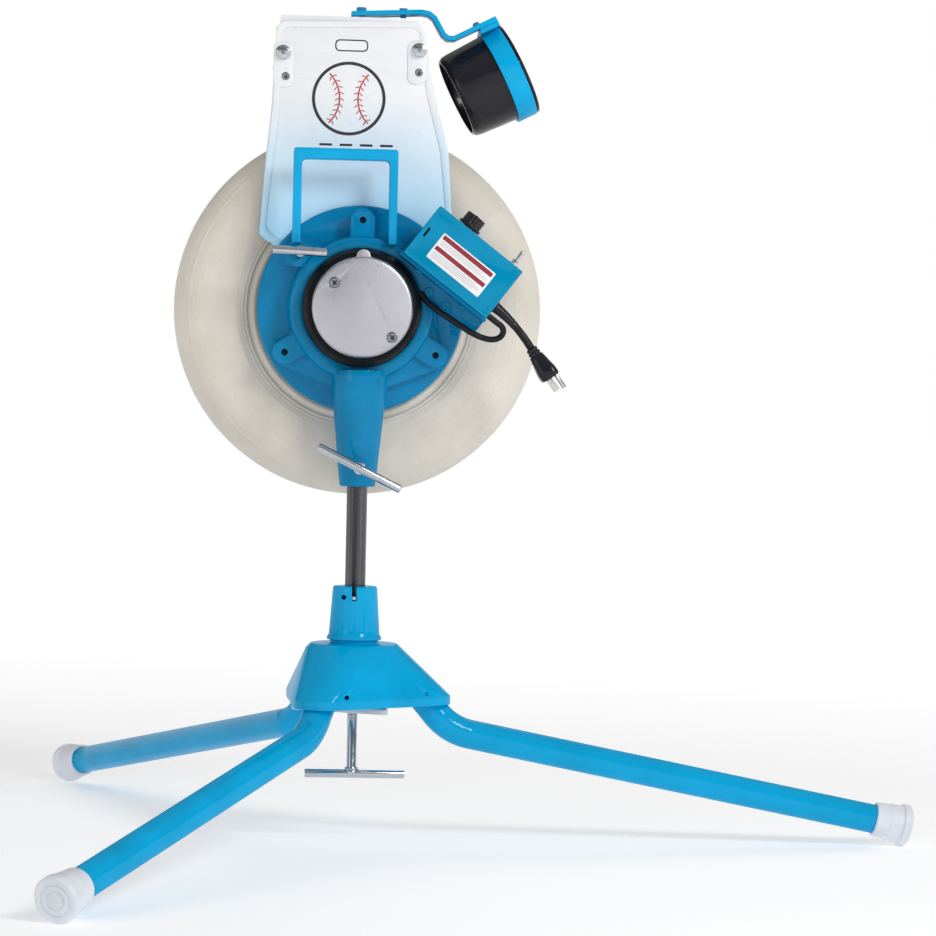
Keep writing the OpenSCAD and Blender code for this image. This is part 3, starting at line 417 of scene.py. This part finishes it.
def smooth_group():
    """A node group that shades a mesh smooth across soft edges only."""
    group = bpy.data.node_groups.new("smooth_soft_edges", "GeometryNodeTree")
    group.interface.new_socket("Geometry", in_out="INPUT", socket_type="NodeSocketGeometry")
    group.interface.new_socket("Geometry", in_out="OUTPUT", socket_type="NodeSocketGeometry")
    add = group.nodes.new
    source, sink = add("NodeGroupInput"), add("NodeGroupOutput")
    faces, edges = add("GeometryNodeSetShadeSmooth"), add("GeometryNodeSetShadeSmooth")
    edges.domain = "EDGE"
    angle, compare = add("GeometryNodeInputMeshEdgeAngle"), add("FunctionNodeCompare")
    compare.data_type = "FLOAT"
    compare.operation = "LESS_EQUAL"
    compare.inputs["B"].default_value = SOFT_ANGLE
    link = group.links.new
    link(source.outputs[0], faces.inputs["Geometry"])
    link(faces.outputs[0], edges.inputs["Geometry"])
    link(angle.outputs["Unsigned Angle"], compare.inputs["A"])
    link(compare.outputs["Result"], edges.inputs["Shade Smooth"])
    link(edges.outputs[0], sink.inputs[0])
    return group


def round_edges(obj, width, group, segments=2):
    """Small true rounds along a piece's sharp edges, and smooth shading on its curved faces."""
    weld = obj.modifiers.new("weld", "WELD")
    weld.merge_threshold = WELD_DISTANCE
    flat = obj.modifiers.new("flat", "DECIMATE")
    flat.decimate_type = "DISSOLVE"
    flat.angle_limit = FLAT_ANGLE
    if width > 0:
        bevel = obj.modifiers.new("round", "BEVEL")
        bevel.width = width
        bevel.segments = segments
        bevel.limit_method = "ANGLE"
        bevel.angle_limit = SOFT_ANGLE
        bevel.use_clamp_overlap = True
    smooth = obj.modifiers.new("smooth", "NODES")
    smooth.node_group = group


def bridge(bm, first, second, closed=True):
    """Quads between two rows with the same number of points."""
    n = len(first)
    for i in range(n if closed else n - 1):
        j = (i + 1) % n
        bm.faces.new((first[i], first[j], second[j], second[i]))


def cap_ends(bm, rows):
    """A face over each end of a stack of rows."""
    bm.faces.new(rows[0][::-1])
    bm.faces.new(rows[-1])


def circle(axis, steps):
    """Unit vectors round an axis, and the axis itself."""
    axis = Vector(axis).normalized()
    side = axis.orthogonal().normalized()
    other = axis.cross(side)
    turns = [FULL_TURN * step / steps for step in range(steps)]
    return axis, [side * math.cos(turn) + other * math.sin(turn) for turn in turns]


def lathe(bm, profile, place, axis, steps):
    """Turns (radius, height) points in metres about an axis through place."""
    axis, spokes = circle(axis, steps)
    rings = [[bm.verts.new(place + out * r + axis * h) for r, h in profile] for out in spokes]
    for a, b in zip(rings, rings[1:] + rings[:1]):
        bridge(bm, a, b, closed=False)
    bmesh.ops.remove_doubles(bm, verts=bm.verts, dist=JOIN_DISTANCE)


def rounded(points, radius, steps=4, closed=True):
    """The points of a polygon with each corner replaced by a small arc."""
    out = []
    n = len(points)
    for i, p in enumerate(points):
        p = Vector(p)
        if not closed and i in (0, n - 1):
            out.append(tuple(p))
            continue
        a, b = Vector(points[i - 1]), Vector(points[(i + 1) % n])
        u, v = (a - p), (b - p)
        reach = min(radius, u.length * 0.45, v.length * 0.45)
        start, end = p + u.normalized() * reach, p + v.normalized() * reach
        for k in range(steps + 1):
            t = k / steps
            out.append(tuple((1 - t) ** 2 * start + 2 * t * (1 - t) * p + t * t * end))
    return out


def smooth_path(points, per_span=6):
    """A Catmull-Rom curve through the points."""
    pts = [Vector(p) for p in points]
    pts = [2 * pts[0] - pts[1]] + pts + [2 * pts[-1] - pts[-2]]
    out = []
    for i in range(1, len(pts) - 2):
        p0, p1, p2, p3 = pts[i - 1:i + 3]
        for k in range(per_span):
            t = k / per_span
            out.append(0.5 * ((2 * p1) + (p2 - p0) * t + (2 * p0 - 5 * p1 + 4 * p2 - p3) * t * t
                              + (3 * p1 - p0 - 3 * p2 + p3) * t ** 3))
    out.append(pts[-2])
    return out


def sweep(bm, path, radii, sides):
    """A round closed tube along a path, with one radius for each point."""
    n = len(path)
    dirs = [(path[min(i + 1, n - 1)] - path[max(i - 1, 0)]).normalized() for i in range(n)]
    side = dirs[0].orthogonal().normalized()
    rings = []
    for i in range(n):
        side = (side - dirs[i] * side.dot(dirs[i])).normalized()
        other = dirs[i].cross(side)
        turns = [FULL_TURN * k / sides for k in range(sides)]
        rings.append([bm.verts.new(path[i] + radii[i] * (side * math.cos(turn) + other * math.sin(turn)))
                      for turn in turns])
    for a, b in zip(rings, rings[1:]):
        bridge(bm, a, b)
    cap_ends(bm, rings)


def arc(cx, cz, radius, steps, start, stop):
    """Points on an arc about (cx, cz), from start towards stop, without its last point."""
    turns = [start + (stop - start) * k / steps for k in range(steps)]
    return [(cx + radius * math.cos(turn), cz + radius * math.sin(turn)) for turn in turns]


def inset(outline, by, middle):
    """The outline with every point moved towards the middle."""
    out = []
    for x, z in outline:
        dx, dz = x - middle[0], z - middle[1]
        scale = 1 - by / math.hypot(dx, dz)
        out.append((middle[0] + dx * scale, middle[1] + dz * scale))
    return out


def ring_prism(bm, outer, inner, depths):
    """A closed band between two outlines with the same number of points.

    depths holds (outline share from outer to inner, y) pairs across the face of the band.
    """
    rows = []
    for share, y in depths:
        rows.append([bm.verts.new(at_post(a[0] + (b[0] - a[0]) * share, y, a[1] + (b[1] - a[1]) * share))
                     for a, b in zip(outer, inner)])
    for a, b in zip(rows, rows[1:] + rows[:1]):
        bridge(bm, a, b)


def cushion(bm, outline, y, height, soft, place=at_post):
    """A low pad with a rounded edge, standing height millimetres in front of y."""
    middle = tuple(sum(p[axis] for p in outline) / len(outline) for axis in (0, 1))
    rows = []
    for k in range(5):
        turn = math.pi / 2 * k / 4
        by = soft * (1 - math.cos(turn))
        rows.append([bm.verts.new(place(x, y - height * math.sin(turn), z))
                     for x, z in inset(outline, by, middle)])
    for a, b in zip(rows, rows[1:]):
        bridge(bm, a, b)
    bm.faces.new(rows[-1])
    bm.faces.new(rows[0][::-1])


def flat_solid(bm, front, back):
    """A closed solid between two outlines of points."""
    front = [bm.verts.new(p) for p in front]
    back = [bm.verts.new(p) for p in back]
    bm.faces.new(front)
    bm.faces.new(back[::-1])
    bridge(bm, back, front)


def decal(bm, outline, y, thick, place=at_post):
    """A thin flat label: an outline in millimetres, standing thick in front of y."""
    flat_solid(bm, [place(x, y - thick, z) for x, z in outline], [place(x, y + SINK, z) for x, z in outline])


def arc_band(bm, cx, cz, r0, r1, start, stop, y, thick, steps):
    """A thin flat band between two radii."""
    beyond = stop + (stop - start) / steps
    outer = arc(cx, cz, r1, steps + 1, start, beyond)
    inner = arc(cx, cz, r0, steps + 1, start, beyond)
    decal(bm, outer + inner[::-1], y, thick)


def box_outline(x0, z0, x1, z1, radius, steps):
    return rounded([(x0, z0), (x1, z0), (x1, z1), (x0, z1)], radius, steps)


# ---------------------------------------------------------------- plate, in millimetres from the post
PLATE_OUTLINE = [(-90, 640), (-111, 657), (-105.5, 742), (-100, 800), (-97.5, 882), (-91, 889),
                 (57, 893), (64, 886), (74, 822), (93, 750), (98, 680), (86, 645)]
PLATE_MIDDLE = (-8, 760)
PLATE_FACE = 27.0
# across the rolled border of the plate, from its outer to its inner line
BORDER_PROFILE = [(0.0, 27.02), (0.0, 26.5), (0.05, 26.0), (0.14, 25.75), (0.72, 25.75), (0.84, 26.0),
                  (0.94, 26.6), (1.0, 27.02)]
BORDER_FROM, BORDER_TO = 0.9, 9.5
# left, right, bottom and top of the raised pads round the plate's fasteners
PADS = ((-99.5, -77.4, 816, 866), (46.0, 66.5, 823, 871))
PRINT = 0.12
BALL_MIDDLE, BALL_RADIUS, BALL_LINE = (-17, 806), 40, 3.4
SEAM_OFFSET, SEAM_RADIUS, SEAM_HALF_LINE = 47, 37.0, 0.8
SEAM_HALF_TURN = math.radians(46)
STITCH_PITCH = SEAM_HALF_TURN / 4.6
STITCH_OUT, STITCH_BACK, STITCH_HALF_LINE = 3.6, 2.4, 0.55
DASHES, DASH_LENGTH = (-48, -26, -4, 18), 14


def stitch(bm, middle, turn, lean, back):
    """One slanted stitch beside a seam, on the side that lean gives."""
    u = Vector((math.cos(turn), math.sin(turn)))
    v = Vector((-u.y, u.x)) * back
    a = Vector(middle) + u * (SEAM_RADIUS + lean * 1.2)
    b = a + u * lean * STITCH_OUT + v * STITCH_BACK
    w = (b - a).orthogonal().normalized() * STITCH_HALF_LINE
    decal(bm, [tuple(a + w), tuple(b + w), tuple(b - w), tuple(a - w)], PLATE_FACE, 0.14)


def plate_pieces(library):
    """The plate's rolled border and raised pads, and its print: a ball, a blank badge and dashes."""
    bm = bmesh.new()
    outline = rounded(PLATE_OUTLINE, 7, 5)
    ring_prism(bm, inset(outline, BORDER_FROM, PLATE_MIDDLE), inset(outline, BORDER_TO, PLATE_MIDDLE),
               BORDER_PROFILE)
    new_piece("plate_border", bm, "lane", library["plate_white"])
    bm = bmesh.new()
    for x0, x1, z0, z1 in PADS:
        cushion(bm, box_outline(x0, z0, x1, z1, 10, 7), PLATE_FACE, 1.5, 1.3)
    new_piece("plate_pads", bm, "lane", library["channel_white"])
    bm = bmesh.new()
    cx, cz = BALL_MIDDLE
    arc_band(bm, cx, cz, BALL_RADIUS - BALL_LINE, BALL_RADIUS, 0, FULL_TURN, PLATE_FACE, PRINT, 96)
    badge = box_outline(-33, 857, 3, 870, 6, 6)
    inner = box_outline(-31.6, 858.4, 1.6, 868.6, 4.8, 6)
    back, front = PLATE_FACE + SINK, PLATE_FACE - PRINT
    ring_prism(bm, badge, inner, [(0, back), (0, front), (1, front), (1, back)])
    for x in DASHES:
        decal(bm, box_outline(x, 754.5, x + DASH_LENGTH, 757.0, 1.1, 3), PLATE_FACE, PRINT)
    new_piece("plate_emblem", bm, "lane", library["print_and_shade_black"], smooth=False)
    bm = bmesh.new()
    for side, middle in ((-1, 0.0), (1, math.pi)):
        centre = (cx + side * SEAM_OFFSET, cz)
        arc_band(bm, *centre, SEAM_RADIUS - SEAM_HALF_LINE, SEAM_RADIUS + SEAM_HALF_LINE,
                 middle - SEAM_HALF_TURN, middle + SEAM_HALF_TURN, PLATE_FACE, PRINT, 36)
        for k in range(-4, 5):
            for lean in (-1, 1):
                stitch(bm, centre, middle + k * STITCH_PITCH, lean, side)
    new_piece("plate_seams", bm, "lane", library["decal_red"], smooth=False)


# ---------------------------------------------------------------- tyre
TYRE_HALF, TYRE_RADIUS, TYRE_MIDDLE, AXLE_HEIGHT = 49.0, 203.0, 93.0, 578
RIM_RADIUS, RIM_HALF = 101.0, 42.0
BEAD_FIT, BEAD_WIDE = 0.4, 13
# radius, height and width of each ring moulded into the side wall
RIBS = [(123.5, 0.9, 1.1), (127.0, 0.5, 0.8), (134.5, 0.35, 0.6), (152.0, 0.35, 0.5), (156.0, 0.5, 0.7),
        (158.0, 0.3, 0.5), (173.0, 0.4, 0.7), (176.5, 0.3, 0.6), (186.5, 0.6, 0.9)]
# radius past the rim, and height past the rim's or the tyre's side
BEAD_LINE = [(BEAD_FIT, 5.2), (4, 3.6), (8, 1.5), (14, -2.6)]
WALL_LINE = [(19, 6.6), (24, 4.4), (32, 2.1), (42, 0.6), (54, 0.4), (66, 1.8), (78, 6.2), (88, 14)]
# radius short of the tread, and height past the tyre's side
SHOULDER_LINE = [(8.5, 20.5), (3.5, 30), (0.9, 40)]
STEP = 0.7
LOW_RIB, LOW_FROM, RIBS_END = 0.38, 1.2, 24


def tyre_piece(library):
    """The tyre as one closed turning, with the fine rings of its side walls."""
    side = [(RIM_RADIUS + r, -RIM_HALF + h) for r, h in BEAD_LINE]
    side += [(RIM_RADIUS + r, -TYRE_HALF + h) for r, h in WALL_LINE]
    side += [(TYRE_RADIUS - r, -TYRE_HALF + h) for r, h in SHOULDER_LINE]
    side.append((TYRE_RADIUS - 0.1, 0))
    line = [Vector((p.x, p.y)) for p in smooth_path([(a, b, 0) for a, b in side], 10)]
    fine = []
    for a, b in zip(line, line[1:]):
        steps = max(1, int((b - a).length / STEP))
        fine += [a + (b - a) * k / steps for k in range(steps)]
    fine.append(line[-1])
    front = []
    for i, p in enumerate(fine):
        along = (fine[min(i + 1, len(fine) - 1)] - fine[max(i - 1, 0)]).normalized()
        out = Vector((along.y, -along.x))
        lift = 0
        if p.y < -TYRE_HALF + RIBS_END:
            lift = sum(h * math.exp(-((p.x - r) / w) ** 2) for r, h, w in RIBS)
        if p.y < -TYRE_HALF + LOW_FROM:
            lift = min(lift, LOW_RIB)
        front.append(p + out * lift)
    back = [Vector((p.x, -p.y)) for p in reversed(front)]
    bead = [Vector((RIM_RADIUS + BEAD_FIT, RIM_HALF - BEAD_WIDE)),
            Vector((RIM_RADIUS + BEAD_FIT, -RIM_HALF + BEAD_WIDE))]
    profile = [(p.x * MM, p.y * MM) for p in front + back[1:] + bead]
    bm = bmesh.new()
    lathe(bm, profile + profile[:1], at_post(0, TYRE_MIDDLE, AXLE_HEIGHT), (0, 1, 0), 180)
    new_piece("tyre_moulded", bm, "wheel", library["tyre_rubber"], ("tyre",))


# ---------------------------------------------------------------- handle
HANDLE_LEFT, HANDLE_RIGHT, HANDLE_FOOT, HANDLE_TOP = -76, 36, 646, 748
HANDLE_LEG, HANDLE_BAR, HANDLE_DEEP = 9, 12, 16.0
HANDLE_BACK = -8.0
HANDLE_ROUND = 0.0013


def handle_piece(library, group):
    """The carrying handle: one flat bar bent square, with its corners rounded inside and out."""
    outside = [(HANDLE_LEFT, HANDLE_FOOT), (HANDLE_LEFT, HANDLE_TOP),
               (HANDLE_RIGHT, HANDLE_TOP), (HANDLE_RIGHT, HANDLE_FOOT)]
    left, right, top = HANDLE_LEFT + HANDLE_LEG, HANDLE_RIGHT - HANDLE_LEG, HANDLE_TOP - HANDLE_BAR
    inside = [(right, HANDLE_FOOT), (right, top), (left, top), (left, HANDLE_FOOT)]
    bm = bmesh.new()
    outline = rounded(outside, 3.5, 5, closed=False) + rounded(inside, 6, 6, closed=False)
    decal(bm, outline, HANDLE_BACK, HANDLE_DEEP)
    handle = new_piece("carry_handle_bar", bm, "head", library["blue_paint"], ("carry_handle",))
    round_edges(handle, HANDLE_ROUND, group, 3)


# ---------------------------------------------------------------- control box
BOX_TURN = math.radians(-37.3)
BOX_PLACE = Vector((105.5, -60, 628))
# each stripe's bottom and top, and each thin rule's bottom, up the label
STRIPES = ((5.2, 10.2), (-8.4, -3.6))
RULES = (2.8, 0.9, -1.0, -10.9, -12.8, -14.7, -16.6)
LABEL_THICK, RULE_LINE = 0.22, 0.5
KNOB_X = -18
POINTER_HALF, POINTER_FROM, POINTER_TO = 0.8, 12.8, 20
POINTER_TOP, POINTER_BOTTOM = 49.25, 48.8


def in_box(x, y, z):
    """A point given in the control box's own axes, from the middle of its lid."""
    c, s = math.cos(BOX_TURN), math.sin(BOX_TURN)
    return at_post(BOX_PLACE.x + x * c - z * s, BOX_PLACE.y + y, BOX_PLACE.z + x * s + z * c)


def box_pieces(library):
    """The label on the lid, with two stripes and plain rules, and the pointer on the knob."""
    bm = bmesh.new()
    cushion(bm, box_outline(-35, -20, 35, 11.7, 1.2, 3), 0.0, LABEL_THICK, 0.15, in_box)
    new_piece("box_label", bm, "head", library["label_white"])
    bm = bmesh.new()
    for z0, z1 in STRIPES:
        decal(bm, box_outline(-33, z0, 33, z1, 0.4, 2), -LABEL_THICK, 0.06, in_box)
    new_piece("label_stripes", bm, "head", library["label_red"], smooth=False)
    bm = bmesh.new()
    for k, z in enumerate(RULES):
        end = 31 if k % 3 else 24
        decal(bm, [(-32, z), (end, z), (end, z + RULE_LINE), (-32, z + RULE_LINE)],
              -LABEL_THICK, 0.05, in_box)
    new_piece("label_rules", bm, "head", library["label_grey"], smooth=False)
    bm = bmesh.new()
    corners = [(KNOB_X - POINTER_HALF, POINTER_FROM), (KNOB_X + POINTER_HALF, POINTER_FROM),
               (KNOB_X + POINTER_HALF, POINTER_TO), (KNOB_X - POINTER_HALF, POINTER_TO)]
    flat_solid(bm, [in_box(x, y, POINTER_TOP) for x, y in corners],
               [in_box(x, y, POINTER_BOTTOM) for x, y in corners])
    new_piece("knob_pointer", bm, "knob", library["label_white"], smooth=False)


# ---------------------------------------------------------------- cords
LEAD_ROUTE = [(62, -24, 596), (68, -25, 588), (78, -28, 579), (90, -31, 571), (104, -34, 562),
              (118, -36, 553.5), (130, -36, 548.5), (140, -36, 547), (148, -36, 549.5), (151.5, -36, 555.5),
              (149.5, -36, 561.3), (144.5, -36, 565), (137.2, -36, 570.6), (132.4, -36, 574.2)]
CORD_ROUTE = [(143.3, -36, 581), (145.8, -36.1, 579), (148.4, -36.2, 576.9), (151, -36.4, 574.6),
              (153.6, -36.7, 572.3), (156.2, -37, 569.8), (158.8, -37.4, 567.2), (161.4, -37.8, 564.5),
              (163.9, -38.2, 561.6), (166.5, -38.6, 558.7), (169.1, -39, 555.6), (171.6, -39.3, 552.4),
              (174.1, -39.6, 549.1), (176.6, -39.8, 545.7), (179, -39.9, 542.1), (181.4, -40, 538.5)]
PLUG_TURN = math.radians(-55)
LEAD_D, CORD_D = 6.6, 8.4
RELIEF_POINTS, RELIEF_SPAN = 9, 10
RELIEF_RADIUS, RELIEF_TAPER, RELIEF_GROOVE = 6.0, 1.55, 0.32
# distance along the plug, half its thickness and half its width
PLUG_ROWS = [(0, 4.6, 4.6), (0.8, 6.2, 6.2), (3, 6.4, 6.4), (3.6, 5.7, 5.7), (4.6, 5.7, 5.7),
             (5.2, 6.8, 6.8), (7.2, 7.0, 7.0), (7.8, 6.2, 6.2), (8.8, 6.2, 6.3), (9.4, 7.4, 7.5),
             (12, 7.9, 8.2), (16, 8.6, 9.6), (19, 9.0, 10.6), (22, 9.4, 12.0), (26, 10.2, 13.6),
             (30, 10.7, 14.5), (34, 10.8, 14.8), (36.6, 10.6, 14.6), (37.6, 10.0, 14.0),
             (37.98, 8.8, 12.8)]
PLUG_SIDES = 40
PLUG_SQUARE_AT = 26


def cord_pieces(library):
    """The motor's lead, and the mains cord with its sleeve and plug."""
    bm = bmesh.new()
    path = smooth_path([at_post(*p) for p in LEAD_ROUTE], 8)
    sweep(bm, path, [LEAD_D / 2 * MM] * len(path), 24)
    new_piece("motor_lead_jacket", bm, "head", library["cord_jacket"], ("motor_lead",))
    bm = bmesh.new()
    route = [at_post(*p) for p in CORD_ROUTE]
    path = smooth_path(route, 4)
    sweep(bm, path, [CORD_D / 2 * MM] * len(path), 28)
    cord = new_piece("mains_cord_jacket", bm, "head", library["cord_jacket"], ("mains_cord",))
    plug = plug_piece(library)
    on_cord = [plug, frame["nodes"]["plug_blades"], strain_relief(library)]


def strain_relief(library):
    """The ribbed, tapered sleeve where the cord leaves the box."""
    bm = bmesh.new()
    route = smooth_path([at_post(*p) for p in CORD_ROUTE[:RELIEF_POINTS]], RELIEF_SPAN)
    last = len(route) - 1
    radii = []
    for i in range(last + 1):
        grooved = i % RELIEF_SPAN in (7, 8, 9) and 8 < i < last - 6
        radius = RELIEF_RADIUS - RELIEF_TAPER * i / last
        radii.append((radius - (RELIEF_GROOVE if grooved else 0.0)) * MM)
    sweep(bm, route, radii, 28)
    return new_piece("strain_relief", bm, "head", library["black_plastic"])


def plug_piece(library):
    """The moulded plug: a ribbed neck that grows into a flat-sided grip."""
    start = at_post(*CORD_ROUTE[-1])
    along = Vector((math.cos(PLUG_TURN), 0, math.sin(PLUG_TURN)))
    wide, across = Vector((0, 1, 0)), Vector((-along.z, 0, along.x))
    bm = bmesh.new()
    rings = []
    for step, a, b in PLUG_ROWS:
        centre = start + along * step * MM
        power = 2.0 + 1.6 * min(1, step / PLUG_SQUARE_AT)
        ring = []
        for k in range(PLUG_SIDES):
            turn = FULL_TURN * k / PLUG_SIDES
            c, s = math.cos(turn), math.sin(turn)
            x = math.copysign(abs(c) ** (2 / power), c) * a
            y = math.copysign(abs(s) ** (2 / power), s) * b
            ring.append(bm.verts.new(centre + (across * x + wide * y) * MM))
        rings.append(ring)
    for a, b in zip(rings, rings[1:]):
        bridge(bm, a, b)
    cap_ends(bm, rings)
    return new_piece("plug_grip", bm, "head", library["black_plastic"], ("plug_body",))


# ---------------------------------------------------------------- small trim
# middles of the fasteners' heads, and how far their faces stand in front of their plate
BOLT_SPOTS = [(-89.2, 853.5), (58.3, 859.9)]
SCREW_SPOTS = [(-85.8, 828.2), (58.6, 836.2)]
CAP_SCREWS = [(-30.5, 603.5), (32, 546.5)]
BOLT_HEAD, SCREW_HEAD = 7.0, 2.2
CAP_FACE, CAP_SCREW_FACE = -50.0, -52.0
WELD_PLACE, WELD_RADIUS, WELD_THICK, WELD_RIPPLES = (0, 0, 80.4), 5.8, 1.6, 14
RIVET_PLACE, RIVET_TILT, RIVET_LIFT = (124, 60, 890.6), math.radians(27), 0.0026
RIVET_PROFILE = [(0, 0.0042), (0.0018, 0.0040), (0.0032, 0.0032), (0.0040, 0.0020), (0.0042, 0.0005),
                 (0.0042, 0)]


def weld_bead(bm, place, axis, radius, thick, ripples):
    """A rippled bead of weld round a shaft."""
    steps, sides = ripples * 6, 12
    axis, spokes = circle(axis, steps)
    rings = []
    for i, out in enumerate(spokes):
        swell = thick * (1 + 0.16 * math.cos(FULL_TURN * i / steps * ripples))
        turns = [FULL_TURN * k / sides for k in range(sides)]
        rings.append([bm.verts.new(place + (out * (radius + swell * math.cos(turn))
                                            + axis * swell * math.sin(turn)) * MM) for turn in turns])
    for a, b in zip(rings, rings[1:] + rings[:1]):
        bridge(bm, a, b)


def cross_recess(bm, x, z, y, reach, wide=0.9):
    """The cross of a cross-head screw as a flat black mark a hair in front of the head's face: painted shade
    in the recess.
    """
    half = wide / 2
    for turn in (45, 135):
        c, s = math.cos(math.radians(turn)), math.sin(math.radians(turn))
        corners = ((-reach, -half), (reach, -half), (reach, half), (-reach, half))
        decal(bm, [(x + u * c - v * s, z + u * s + v * c) for u, v in corners], y, 0.08)


def screw_crosses(library):
    """Painted shade on the fasteners' heads, as black crosses in the screws' recesses and a ring round each
    cap screw's countersink, and marks on the bolt heads.
    """
    bm = bmesh.new()
    for x, z in CAP_SCREWS:
        # black cross and thin ring: painted shade in the cross recess and painted shadow round the
        # countersink
        cross_recess(bm, x, z, CAP_SCREW_FACE, 2.7, 1.1)
        arc_band(bm, x, z, 5.1, 5.8, 0, FULL_TURN, CAP_FACE, 0.06, 24)
    new_piece("cap_screw_painted_shade", bm, "head", library["print_and_shade_black"], smooth=False)
    bm = bmesh.new()
    for x, z in SCREW_SPOTS:
        # black crosses: painted shade in the screws' recesses
        cross_recess(bm, x, z, PLATE_FACE - SCREW_HEAD, 2.2)
    new_piece("lane_screw_painted_shade", bm, "lane", library["print_and_shade_black"], smooth=False)
    bm = bmesh.new()
    for x, z in BOLT_SPOTS:
        arc_band(bm, x, z, 0.01, 2.2, 0, FULL_TURN, PLATE_FACE - BOLT_HEAD, 0.05, 20)
    new_piece("bolt_head_marks", bm, "lane", library["screw_zinc"], smooth=False)


def trim_pieces(library):
    """Painted shade and marks on the fasteners, the weld of the drawbolt's handle and the rivet of the cup's
    band.
    """
    screw_crosses(library)
    bm = bmesh.new()
    weld_bead(bm, at_post(*WELD_PLACE), (0, 0, 1), WELD_RADIUS, WELD_THICK, WELD_RIPPLES)
    new_piece("drawbolt_weld", bm, "drawbolt_handle", library["zinc"])
    bm = bmesh.new()
    tilt = Vector((-math.sin(RIVET_TILT), 0, math.cos(RIVET_TILT)))
    lathe(bm, RIVET_PROFILE, at_post(*RIVET_PLACE) + tilt * RIVET_LIFT, tilt, 24)
    new_piece("band_rivet", bm, "lane", library["blue_fastener"])


# ---------------------------------------------------------------- finish of the CAD nodes
# nodes whose look is finer than their slot's
FINISH = {"yoke_casting": "cast_paint", "pressure_channel": "channel_white", "control_box_body": "box_paint",
          "control_box_lid": "box_paint", "box_bracket": "cast_paint", "handle_screws": "blue_paint",
          "box_screws": "box_paint", "plug_blades": "nickel", "cap_screws": "screw_zinc",
          "lane_screws": "screw_zinc"}
EDGE_ROUND = {"yoke_casting": 0.0012, "hub_casting": 0.0014, "control_box_body": 0.0009,
              "control_box_lid": 0.0009, "carry_handle": 0.0014, "feed_arm": 0.0008, "cup_band": 0.0006,
              "lane_plate": 0.0008, "box_bracket": 0.0007, "pressure_channel": 0.001, "pressure_pad": 0.002}
USUAL_ROUND = 0.0004
PLAIN_EDGES = ("tyre", "feed_cup", "wheel_rim", "inner_tube", "mains_cord", "motor_lead")


def finish_cad(library, group):
    """Every CAD node gets its slot's material, and its edges a small round."""
    slots = {s["node"]: s["material_slot"] for s in frame["record"]["subparts"]}
    for name, obj in frame["nodes"].items():
        key = FINISH.get(name, slots[name])
        obj.data.materials.clear()
        obj.data.materials.append(library[key])
        round_edges(obj, 0.0 if name in PLAIN_EDGES else EDGE_ROUND.get(name, USUAL_ROUND), group)


add_camera()
library = material_library()
soft_edges = smooth_group()
cord_pieces(library)
add_world()
add_stage()
finish_cad(library, soft_edges)
plate_pieces(library)
handle_piece(library, soft_edges)
tyre_piece(library)
box_pieces(library)
trim_pieces(library)
